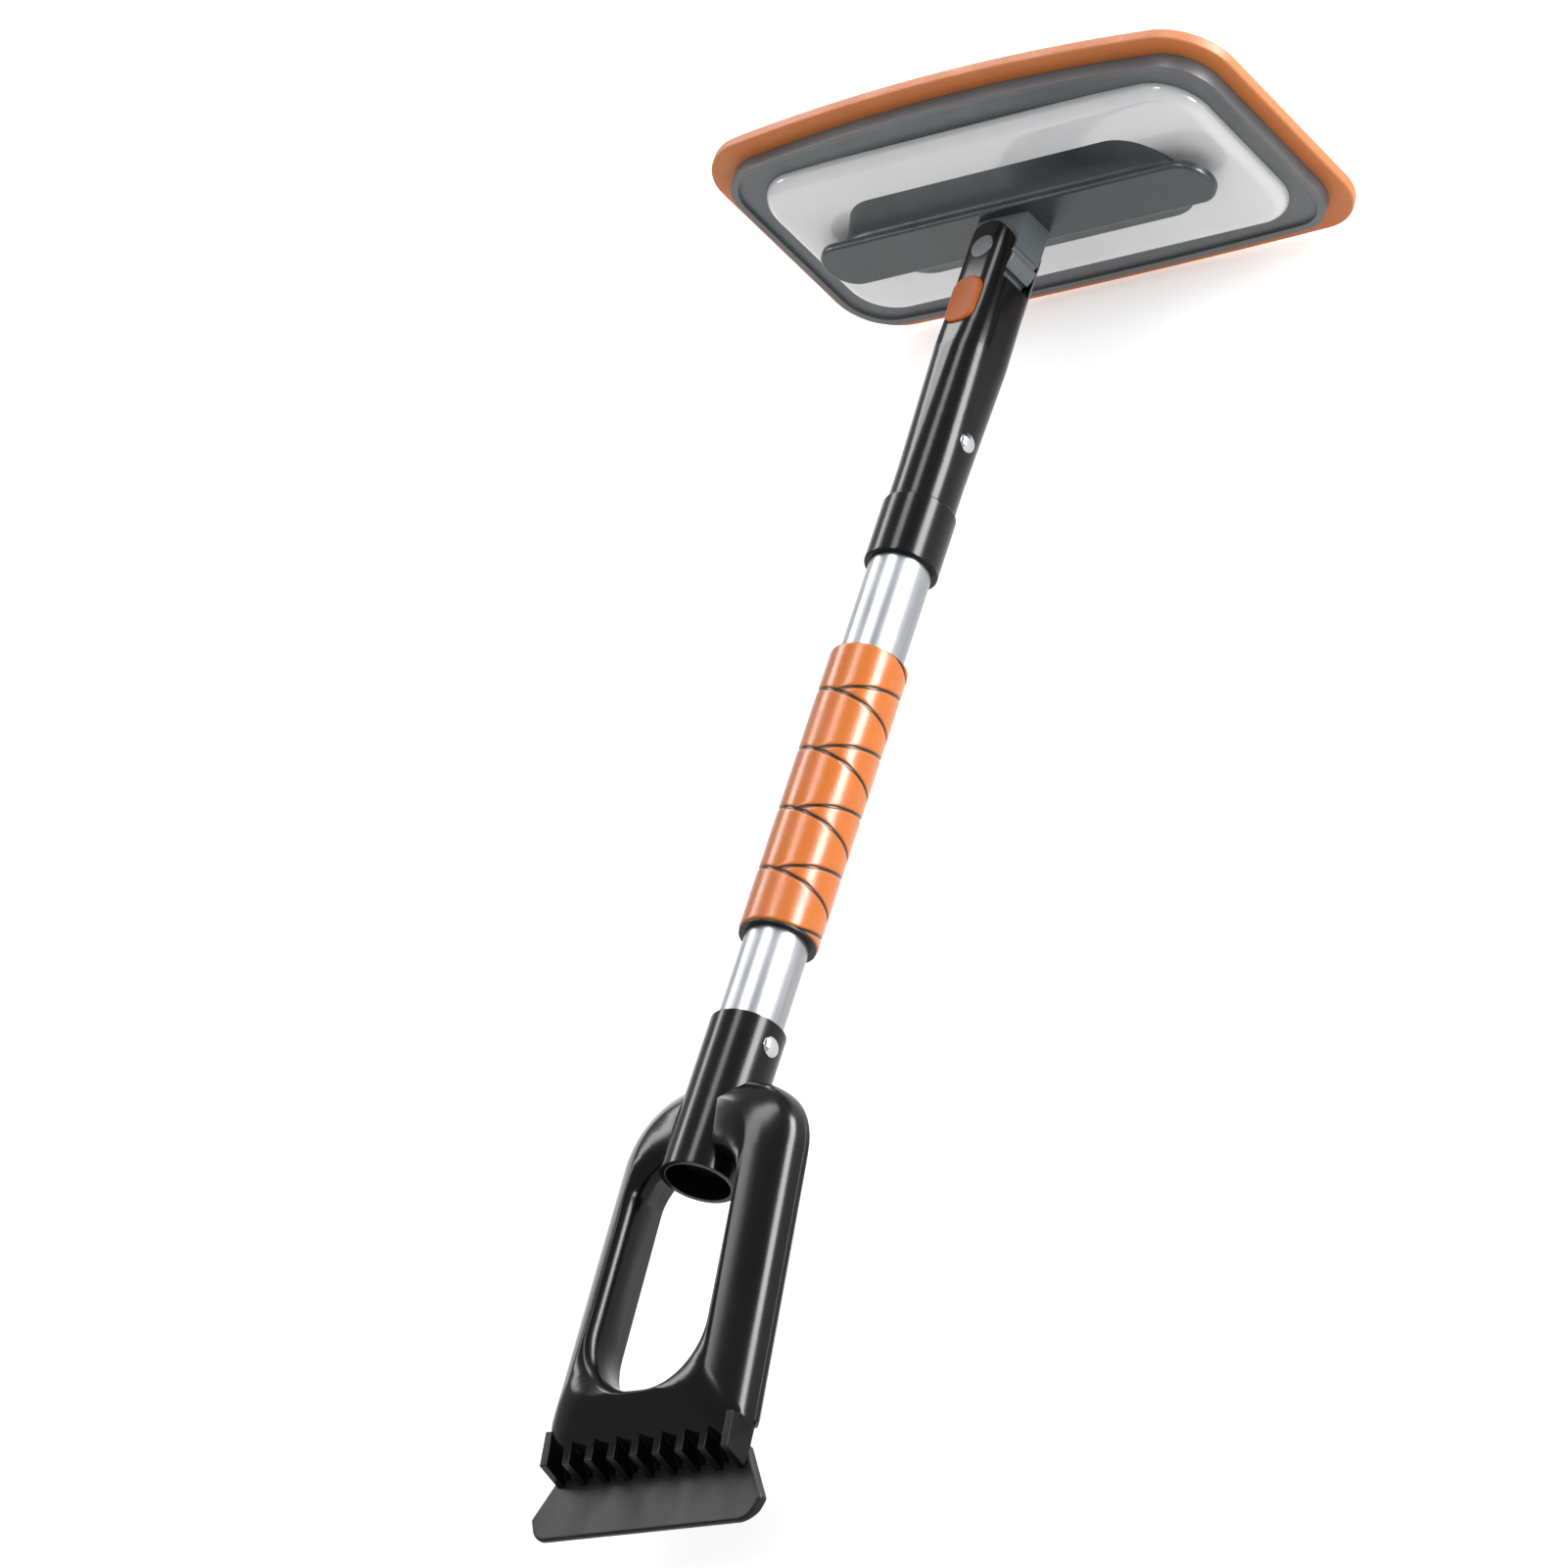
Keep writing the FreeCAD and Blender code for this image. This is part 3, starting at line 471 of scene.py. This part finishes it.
def finish_piece(mesh: bmesh.types.BMesh, name: str, slot: Slot, body: Optional[Body],
                 *nodes: str, sharp: float = 40.0) -> bpy.types.Object:
    """Turns a built mesh into a piece that rides a body and stands for CAD nodes.

    Args:
        mesh: closed mesh in metres, in place.
        name: name of the new object.
        slot: record slot of its finish.
        body: body that it rides, or None for a piece that rides no body.
        nodes: CAD nodes that it replaces.
        sharp: edges that turn more than this many degrees stay crisp.

    Returns:
        The new object.
    """
    bmesh.ops.recalc_face_normals(mesh, faces=mesh.faces[:])
    for face in mesh.faces:
        face.smooth = True
    for edge in mesh.edges:
        if len(edge.link_faces) == 2:
            edge.smooth = edge.calc_face_angle(0.0) < math.radians(sharp)
    data = bpy.data.meshes.new(name)
    mesh.to_mesh(data)
    mesh.free()
    piece = bpy.data.objects.new(name, data)
    bpy.context.scene.collection.objects.link(piece)
    data.materials.append(FINISHES[slot].material())
    if body is not None:
        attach(piece, body.value)
    if nodes:
        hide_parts(*nodes)
    LOG.info("built %s: %d faces", name, len(data.polygons))
    return piece


def slab(size: Vector, centre: Vector, corner: float, segments: int = 10) -> bmesh.types.BMesh:
    """Box with its four edges along Y rounded.

    Args:
        size: lengths along X, Y and Z.
        centre: middle of the box.
        corner: radius of the rounded edges.
        segments: faces round each corner.

    Returns:
        The mesh.
    """
    mesh = bmesh.new()
    bmesh.ops.create_cube(mesh, size=1.0)
    bmesh.ops.scale(mesh, vec=size, verts=mesh.verts[:])
    along = [edge for edge in mesh.edges
             if abs(edge.verts[0].co.y - edge.verts[1].co.y) > size.y / 2]
    bmesh.ops.bevel(mesh, geom=along, offset=corner, segments=segments, profile=0.5,
                    affect="EDGES", material=-1)
    bmesh.ops.translate(mesh, vec=centre, verts=mesh.verts[:])
    return mesh


def rim_edges(mesh: bmesh.types.BMesh, station: float) -> list:
    """Edges that lie across Y and bound a side wall.

    Args:
        mesh: mesh with current face normals.
        station: Y of the edges in metres.

    Returns:
        The edges.
    """
    return [edge for edge in mesh.edges
            if all(abs(vert.co.y - station) < PLANE_TOLERANCE for vert in edge.verts)
            and any(abs(face.normal.y) < 0.5 for face in edge.link_faces)]


def slice_mesh(mesh: bmesh.types.BMesh, axis: int, places: list) -> None:
    """Cuts new edge loops across an axis.

    Args:
        mesh: mesh to cut.
        axis: 0 for X, 1 for Y and 2 for Z.
        places: where to cut along the axis, in metres.
    """
    normal = Vector((0, 0, 0))
    normal[axis] = 1.0
    for place in places:
        geometry = mesh.verts[:] + mesh.edges[:] + mesh.faces[:]
        bmesh.ops.bisect_plane(mesh, geom=geometry, dist=CUT_TOLERANCE,
                               plane_co=normal * place, plane_no=normal)


@dataclass
class Skin:
    """Carried-over shape with its facets blended into one smooth surface.

    Attributes:
        node: CAD node that it copies and stands for.
        slot: record slot of its finish.
        body: body that it rides.
        sharp: edges that turn more than this many degrees stay crisp.
        weld: distance within which the copy's vertices are joined.
    """

    node: str
    slot: Slot
    body: Body
    sharp: float = 34.0
    weld: float = 2e-6

    def copy(self) -> bmesh.types.BMesh:
        """Welded copy of the node's mesh.

        Returns:
            The welded mesh.
        """
        mesh = bmesh.new()
        mesh.from_mesh(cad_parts[self.node].data)
        bmesh.ops.remove_doubles(mesh, verts=mesh.verts[:], dist=self.weld)
        bmesh.ops.dissolve_degenerate(mesh, edges=mesh.edges[:], dist=self.weld)
        return mesh

    def build(self) -> bpy.types.Object:
        """Turns the copy into a smoothly shaded piece."""
        return finish_piece(self.copy(), self.node + "_skin", self.slot, self.body, self.node,
                            sharp=self.sharp)


@dataclass
class Spring(Skin):
    """Spring between the pole and the button it pushes, copied from its node and riding no body.

    Attributes:
        axis: axis along which the button is pressed, 0 for X and 2 for Z.
    """

    axis: int = 0

    def build(self) -> bpy.types.Object:
        """Copies the spring into a smooth piece that rides no body and bakes its place into the
        mesh.

        Returns:
            The new piece.
        """
        piece = finish_piece(self.copy(), self.node + "_coil", self.slot, None, self.node,
                             sharp=self.sharp)
        low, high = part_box(self.node)
        start, end = (low + high) / 2, (low + high) / 2
        start[self.axis], end[self.axis] = low[self.axis], high[self.axis]
        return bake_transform(piece)


@dataclass
class FoamPad:
    """Foam sheet of the broom: crowned long edges, ends that lean towards the pole.

    Attributes:
        corner: radius of its four corners.
        corner_steps: faces round each corner.
        crown: how much each long edge falls back towards its ends.
        bend: how far the ends lean towards the pole.
        rim: radius of the rounded rim.
        columns: strips along X.
        rows: strips along Z.
    """

    corner: float = 0.024
    corner_steps: int = 14
    crown: float = 0.0058
    bend: float = 0.0039
    rim: float = 0.0011
    columns: int = 40
    rows: int = 20

    def build(self) -> bpy.types.Object:
        """Builds the sheet in the space of its CAD solid.

        Returns:
            The new piece.
        """
        low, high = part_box("foam_pad")
        thick = (high.y - low.y) - self.bend
        size = Vector((high.x - low.x, thick, high.z - low.z))
        centre = Vector((0, high.y - thick / 2, 0))
        mesh = slab(size, centre, self.corner, self.corner_steps)
        mesh.normal_update()
        rims = rim_edges(mesh, high.y) + rim_edges(mesh, high.y - thick)
        bmesh.ops.bevel(mesh, geom=rims, offset=self.rim, segments=4, profile=0.5,
                        affect="EDGES", material=-1)
        slice_mesh(mesh, 0, [high.x * (2 * i / self.columns - 1) for i in range(1, self.columns)])
        slice_mesh(mesh, 2, [high.z * (2 * i / self.rows - 1) for i in range(1, self.rows)])
        for vert in mesh.verts:
            share = (vert.co.x / high.x) ** 2
            vert.co.z *= 1 - self.crown / high.z * share
            vert.co.y -= self.bend * share
        piece = finish_piece(mesh, "foam_sheet", Slot.FOAM, Body.HEAD, "foam_pad")
        return piece


@dataclass
class Grip:
    """Soft sleeve with a pressed-in helix and a branch groove at every turn.

    Attributes:
        pitch: rise of the helix in one turn.
        phase: station of the helix at the front.
        facing: angle of the front about the pole, from +X towards +Z.
        branch_start: turn at which a branch leaves the helix.
        branch_span: turn that a branch covers.
        branch_rise: rise of a branch along the pole.
        depth: depth of the grooves.
        half_width: distance from a groove's middle at which its depth has fallen to a third.
        end_round: radius of the sleeve's ends.
        end_angles: angles of the points drawn round each end, in degrees.
        overlap: how far the sleeve's bore reaches into the core.
        row: length of a row of faces along the pole.
        turns: faces round the pole.
        nodes: slots of the carried-over nodes.
    """

    pitch: float = 0.027
    phase: float = 0.0107
    facing: float = 0.7227
    branch_start: float = -0.6458
    branch_span: float = 2.9671
    branch_rise: float = 0.01425
    depth: float = 0.0007
    half_width: float = 0.0007
    end_round: float = 0.001
    end_angles: tuple = (30, 60)
    overlap: float = 0.001
    row: float = 0.00045
    turns: int = 150
    nodes: dict = field(default_factory=lambda: {"grip_core": Slot.MATTE})

    def coil(self, turn: float) -> float:
        """Station of the helix at a turn from the front."""
        return self.phase - self.pitch * turn / math.tau

    def pressed(self, angle: float, station: float) -> float:
        """How deep the grooves are at a place on the sleeve.

        Args:
            angle: angle about the pole, from +X towards +Z.
            station: Y in metres.

        Returns:
            Share of the full depth, from 0 to 1.
        """
        turn = (self.facing - angle + math.pi) % math.tau - math.pi
        rows = [self.coil(turn)]
        along = (turn - self.branch_start) % math.tau
        if along <= self.branch_span:
            start = self.coil(self.branch_start)
            rows.append(start + self.branch_rise * along / self.branch_span)
        nearest = min(abs((station - row + self.pitch / 2) % self.pitch - self.pitch / 2)
                      for row in rows)
        return math.exp(-(nearest / self.half_width) ** 2)

    def section(self, low: float, high: float, inner: float, outer: float) -> list:
        """Half section of the sleeve with rounded ends.

        Args:
            low: lowest station.
            high: highest station.
            inner: radius of the bore.
            outer: radius of the outside.

        Returns:
            Radius and station of each point, in order.
        """
        count = round((high - low - 2 * self.end_round) / self.row)
        angles = [math.radians(angle) for angle in self.end_angles]
        points = [(inner, low), (outer - self.end_round, low)]
        points += [(outer - self.end_round * (1 - math.sin(angle)),
                    low + self.end_round * (1 - math.cos(angle))) for angle in angles]
        points += [(outer, low + self.end_round + i * self.row) for i in range(count + 1)]
        points += [(outer - self.end_round * (1 - math.cos(angle)),
                    high - self.end_round * (1 - math.sin(angle))) for angle in angles]
        return points + [(outer - self.end_round, high), (inner, high)]

    def build(self) -> bpy.types.Object:
        """Spins the sleeve's section and presses the grooves in.

        Returns:
            The new piece.
        """
        low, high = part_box("grip_sleeve")
        outer, inner = high.x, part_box("grip_core")[1].x - self.overlap
        mesh = bmesh.new()
        verts = [mesh.verts.new((radius, station, 0))
                 for radius, station in self.section(low.y, high.y, inner, outer)]
        edges = [mesh.edges.new((a, b)) for a, b in zip(verts, verts[1:] + verts[:1])]
        bmesh.ops.spin(mesh, geom=verts + edges, cent=(0, 0, 0), axis=(0, 1, 0), angle=math.tau,
                       steps=self.turns, use_merge=True, use_duplicate=False)
        layer = mesh.verts.layers.float.new(GROOVE_LAYER)
        for vert in mesh.verts:
            radius = math.hypot(vert.co.x, vert.co.z)
            if radius < outer - self.end_round / 2:
                continue
            share = self.pressed(math.atan2(vert.co.z, vert.co.x), vert.co.y)
            # The depth share is stored for the painted shade in the grooves.
            vert[layer] = share
            scale = (radius - self.depth * share) / radius
            vert.co.x *= scale
            vert.co.z *= scale
        piece = finish_piece(mesh, "grip_cover", Slot.GRIP, Body.POLE, "grip_sleeve", sharp=70.0)
        dress(self.nodes)
        return piece


@dataclass
class Pole:
    """Tube, its plug and the push-fit snap buttons.

    Attributes:
        nodes: slots of the carried-over nodes.
    """

    nodes: dict = field(default_factory=lambda: {
        "pole_tube": Slot.TUBE, "tube_plug": Slot.MATTE, "head_snap_button": Slot.CHROME,
        "scraper_snap_button": Slot.CHROME})

    def build(self) -> None:
        """Dresses the pole's nodes and builds both leaf springs."""
        dress(self.nodes)
        Spring("head_snap_spring", Slot.STEEL, Body.HEAD_SNAP).build()
        Spring("scraper_snap_spring", Slot.STEEL, Body.SCRAPER_SNAP).build()


@dataclass
class Yoke:
    """Collar, fork, pin and the sprung lock.

    Attributes:
        nodes: slots of the carried-over nodes.
    """

    nodes: dict = field(default_factory=lambda: {
        "yoke_collar": Slot.BLACK, "pivot_pin": Slot.STEEL,
        "pin_caps": Slot.CAP, "friction_washers": Slot.STEEL, "lock_pawl": Slot.STEEL})

    def build(self) -> None:
        """Dresses the yoke and builds the thumb button."""
        dress(self.nodes)
        Skin("yoke", Slot.BLACK, Body.POLE).build()
        Spring("lock_spring", Slot.STEEL, Body.LOCK, axis=2).build()
        ThumbButton().build()


@dataclass
class ThumbButton:
    """Release button with rounded edges and a thumb hollow.

    Attributes:
        corner_share: radius of its corners as a share of its width.
        edge: radius of its top edge.
        hollow: depth of the hollow.
        hollow_x: half width of the hollow as a share of the button's width.
        hollow_z: half length of the hollow as a share of the button's length.
    """

    corner_share: float = 0.42
    edge: float = 0.0011
    hollow: float = 0.0011
    hollow_x: float = 0.6
    hollow_z: float = 0.52

    def build(self) -> bpy.types.Object:
        """Builds the button in its CAD node's box.

        Returns:
            The new piece.
        """
        low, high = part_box("lock_button")
        size = Vector((high.x - low.x, high.z - low.z, high.y - low.y))
        mesh = slab(size, Vector((0, 0, 0)), size.x * self.corner_share, 10)
        mesh.normal_update()
        bmesh.ops.bevel(mesh, geom=rim_edges(mesh, size.y / 2), offset=self.edge, segments=5,
                        profile=0.5, affect="EDGES", material=-1)
        slice_mesh(mesh, 0, [size.x * i / 16 for i in range(-6, 7)])
        slice_mesh(mesh, 2, [size.z * i / 24 for i in range(-10, 11)])
        for vert in mesh.verts:
            if vert.co.y > size.y / 2 - self.edge:
                along = max(0.0, 1 - (vert.co.z / (size.z * self.hollow_z)) ** 2)
                across = max(0.0, 1 - (vert.co.x / (size.x * self.hollow_x)) ** 2)
                vert.co.y -= self.hollow * along * across
        place = Matrix.Translation((low + high) / 2) @ Matrix.Rotation(math.pi / 2, 4, "X")
        bmesh.ops.transform(mesh, matrix=place, verts=mesh.verts[:])
        return finish_piece(mesh, "thumb_button", Slot.BUTTON, Body.LOCK, "lock_button")


@dataclass
class Cover:
    """Glossy cover with a soft rolled edge and a slight dome.

    Attributes:
        corner: radius of its four corners.
        corner_steps: faces round each corner.
        roll: radius of its rolled edge.
        dome: how far the long edges fall back.
        flat: half width of the flat strip under the spine.
        columns: strips along X.
        rows: strips along Z.
    """

    corner: float = 0.020
    corner_steps: int = 14
    roll: float = 0.0055
    dome: float = 0.0011
    flat: float = 0.026
    columns: int = 32
    rows: int = 24

    def build(self) -> bpy.types.Object:
        """Builds the cover in its CAD node's box.

        Returns:
            The new piece.
        """
        low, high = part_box("cover_plate")
        mesh = slab(high - low, (low + high) / 2, self.corner, self.corner_steps)
        mesh.normal_update()
        bmesh.ops.bevel(mesh, geom=rim_edges(mesh, low.y), offset=self.roll, segments=9,
                        profile=0.5, affect="EDGES", material=-1)
        slice_mesh(mesh, 0, [high.x * (2 * i / self.columns - 1) for i in range(1, self.columns)])
        slice_mesh(mesh, 2, [high.z * (2 * i / self.rows - 1) for i in range(1, self.rows)])
        for vert in mesh.verts:
            if vert.co.y < low.y + self.roll:
                reach = (max(0.0, abs(vert.co.z) - self.flat) / (high.z - self.flat)) ** 2
                vert.co.y += self.dome * reach * (1 - (vert.co.y - low.y) / self.roll)
        return finish_piece(mesh, "cover_shell", Slot.COVER, Body.HEAD, "cover_plate", sharp=60.0)


@dataclass
class Spine:
    """Flared base that carries the narrow cap: concave flanks under a rounded cap.

    Attributes:
        foot_x: half length at the foot.
        foot_z: half width at the foot.
        neck_x: half length under the cap.
        neck_z: half width under the cap.
        corner_share: radius of the foot's corners as a share of its half width.
        corner_steps: faces round each corner.
        levels: steps from the foot to the cap.
        flare: how sharply the flanks flare at the foot.
    """

    foot_x: float = 0.080
    foot_z: float = 0.0245
    neck_x: float = 0.088
    neck_z: float = 0.0112
    corner_share: float = 0.8
    corner_steps: int = 12
    levels: int = 14
    flare: float = 2.6

    def foot(self, station: float) -> bmesh.types.BMesh:
        """Flat outline of the foot with rounded corners.

        Args:
            station: Y of the outline in metres.

        Returns:
            A mesh with the outline as its one face.
        """
        mesh = bmesh.new()
        bmesh.ops.create_grid(mesh, x_segments=1, y_segments=1, size=0.5)
        turn = Matrix.Rotation(math.pi / 2, 4, "X")
        bmesh.ops.transform(mesh, matrix=turn, verts=mesh.verts[:])
        bmesh.ops.scale(mesh, vec=(2 * self.foot_x, 1, 2 * self.foot_z), verts=mesh.verts[:])
        bmesh.ops.bevel(mesh, geom=mesh.verts[:], offset=self.foot_z * self.corner_share,
                        segments=self.corner_steps, profile=0.5, affect="VERTICES", material=-1)
        bmesh.ops.translate(mesh, vec=(0, station, 0), verts=mesh.verts[:])
        return mesh

    def draw_out(self, mesh: bmesh.types.BMesh, faces: list) -> set:
        """Extrudes faces and gives the vertices of their new end."""
        result = bmesh.ops.extrude_face_region(mesh, geom=faces)
        return {item for item in result["geom"] if isinstance(item, bmesh.types.BMVert)}

    def half_sizes(self, share: float) -> tuple:
        """Half length and half width at a share of the way from the foot to the cap."""
        fall = (1 - share) ** self.flare
        return (self.neck_x + (self.foot_x - self.neck_x) * fall,
                self.neck_z + (self.foot_z - self.neck_z) * fall)

    def build(self) -> bpy.types.Object:
        """Draws the base out of its foot in level steps.

        Returns:
            The new piece.
        """
        low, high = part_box("spine_base")
        mesh = self.foot(high.y)
        end = self.draw_out(mesh, mesh.faces[:])
        before = self.half_sizes(0.0)
        for level in range(1, self.levels + 1):
            if level > 1:
                faces = [face for face in mesh.faces if end.issuperset(face.verts)]
                end = self.draw_out(mesh, faces)
                bmesh.ops.delete(mesh, geom=faces, context="FACES_ONLY")
            now = self.half_sizes(level / self.levels)
            bmesh.ops.scale(mesh, vec=(now[0] / before[0], 1, now[1] / before[1]), verts=list(end))
            bmesh.ops.translate(mesh, vec=(0, (low.y - high.y) / self.levels, 0), verts=list(end))
            before = now
        return finish_piece(mesh, "spine_foot", Slot.SPINE, Body.HEAD, "spine_base", sharp=60.0)


@dataclass
class Head:
    """Lug, spine, cover, plate and foam.

    Attributes:
        nodes: slots of the carried-over nodes.
    """

    nodes: dict = field(default_factory=lambda: {
        "pivot_lug": Slot.LUG, "spine_cap": Slot.SPINE, "lug_screws": Slot.STEEL,
        "cover_screws": Slot.STEEL, "backing_plate": Slot.PLATE})

    def build(self) -> None:
        """Dresses the head's nodes, then builds its spine and foam."""
        dress(self.nodes)
        Cover().build()
        Spine().build()
        FoamPad().build()


@dataclass
class Scraper:
    """Socket, D handle and blade.

    Attributes:
        nodes: slots of the carried-over nodes.
    """

    nodes: dict = field(default_factory=lambda: {
        "scraper_socket": Slot.BLACK, "scraper_blade": Slot.MATTE,
        "handle_screws": Slot.STEEL, "blade_screws": Slot.STEEL})

    def build(self) -> None:
        """Dresses the scraper's nodes and smooths both handle shells."""
        dress(self.nodes)
        Skin("handle_front_shell", Slot.BLACK, Body.POLE, sharp=38.0).build()
        Skin("handle_rear_shell", Slot.BLACK, Body.POLE).build()


@dataclass
class Softbox:
    """Large soft light that looks at a point.

    Attributes:
        name: name of the light.
        place: its middle, metres.
        size: its sides, metres; the first runs along the pole.
        power: watts.
        shines: whether it lights matt surfaces.
        mirrors: whether it shows as a highlight.
        aim: point that it looks at.
    """

    name: str
    place: tuple
    size: tuple
    power: float
    shines: bool = True
    mirrors: bool = True
    aim: tuple = (0.0, 0.05, 0.0)

    def build(self) -> bpy.types.Object:
        """Makes the light and turns it to its aim, its first side along the pole.

        Returns:
            The light.
        """
        data = bpy.data.lights.new(self.name, "AREA")
        data.shape = "RECTANGLE"
        data.size, data.size_y = self.size
        data.energy = self.power
        light = bpy.data.objects.new(self.name, data)
        back = (Vector(self.place) - Vector(self.aim)).normalized()
        along = (Vector((0, 1, 0)) - back * back.y).normalized()
        turn = Matrix((along, back.cross(along), back)).transposed()
        light.matrix_world = Matrix.Translation(self.place) @ turn.to_4x4()
        light.visible_diffuse = self.shines
        light.visible_glossy = self.mirrors
        bpy.context.scene.collection.objects.link(light)
        return light


@dataclass
class Studio:
    """Pale floor, soft lights and the camera.

    Attributes:
        floor_gap: gap between the object and the floor.
        floor_size: side of the floor.
        floor_glow: how strongly the floor glows.
        right: camera's right axis.
        back: camera's backward axis.
        offset: camera's place along its own axes.
        rise: how far the camera is lowered along the pole.
        lens: focal length in millimetres.
        sensor: sensor width in millimetres.
        ambient: strength of the surroundings.
    """

    floor_gap: float = 0.001
    floor_size: float = 12.0
    floor_glow: float = 0.4
    right: tuple = (0.7437, 0.2766, -0.6086)
    back: tuple = (0.6540, -0.4896, 0.5767)
    offset: tuple = (-0.014425, 0.008357, 2.98335)
    rise: float = 0.0023
    lens: float = 182.54
    sensor: float = 36.0
    ambient: float = 0.72

    def build(self) -> None:
        """Builds the surroundings of the object."""
        self.build_floor()
        self.build_world()
        for light in (Softbox("key", (0.2, 0.5, 2.2), (3.2, 3.0), 24.0, mirrors=False),
                      Softbox("side", (1.35, 0.8, 0.3), (1.7, 0.5), 26.0, mirrors=False),
                      Softbox("streak_right", (1.37, 0.78, 0.26), (2.0, 0.5), 125.0, shines=False),
                      Softbox("streak_top", (0.15, 0.78, 1.39), (2.0, 0.36), 34.0, shines=False),
                      Softbox("streak_left", (-1.15, 0.8, 0.9), (1.6, 0.4), 26.0, shines=False)):
            light.build()
        self.build_camera()

    def build_floor(self) -> None:
        """Plain pale floor under the lowest point of the object."""
        mesh = bmesh.new()
        bmesh.ops.create_grid(mesh, x_segments=4, y_segments=4, size=self.floor_size / 2)
        bmesh.ops.translate(mesh, vec=(0, 0, CAD_BOUNDS[0][2] - self.floor_gap),
                            verts=mesh.verts[:])
        data = bpy.data.meshes.new("floor")
        mesh.to_mesh(data)
        mesh.free()
        floor = bpy.data.objects.new("floor", data)
        bpy.context.scene.collection.objects.link(floor)
        tree = Tree("mat_floor")
        colour = tree.mix(tree.noise(0.4, 2.0), linear(250, 250, 250), linear(252, 252, 252))
        tree.link(colour, tree.shader.inputs["Base Color"])
        tree.shader.inputs["Roughness"].default_value = 0.9
        tree.shader.inputs["Specular IOR Level"].default_value = 0.0
        tree.shader.inputs["Emission Color"].default_value = linear(255, 255, 255)
        tree.shader.inputs["Emission Strength"].default_value = self.floor_glow
        data.materials.append(tree.material)

    def build_world(self) -> None:
        """Even pale surroundings."""
        world = bpy.data.worlds.new("studio")
        world.use_nodes = True
        background = world.node_tree.nodes["Background"]
        background.inputs["Color"].default_value = linear(250, 250, 250)
        background.inputs["Strength"].default_value = self.ambient
        bpy.context.scene.world = world

    def build_camera(self) -> None:
        """Camera from its axes and place."""
        right, back = Vector(self.right).normalized(), Vector(self.back).normalized()
        up = back.cross(right).normalized()
        right = up.cross(back)
        turn = Matrix((right, up, back)).transposed()
        data = bpy.data.cameras.new("camera")
        data.lens = self.lens
        data.sensor_width = self.sensor
        camera = bpy.data.objects.new("camera", data)
        place = turn @ Vector(self.offset) - Vector((0, self.rise, 0))
        camera.matrix_world = Matrix.Translation(place) @ turn.to_4x4()
        bpy.context.scene.collection.objects.link(camera)
        bpy.context.scene.camera = camera


def main() -> None:
    """Builds every sub-assembly in order."""
    logging.basicConfig(level=logging.INFO)
    bpy.context.scene.view_settings.view_transform = "Standard"
    for assembly in (Pole(), Grip(), Yoke(), Head(), Scraper(), Studio()):
        LOG.info("building %s", type(assembly).__name__)
        assembly.build()


if __name__ == "__main__":
    main()
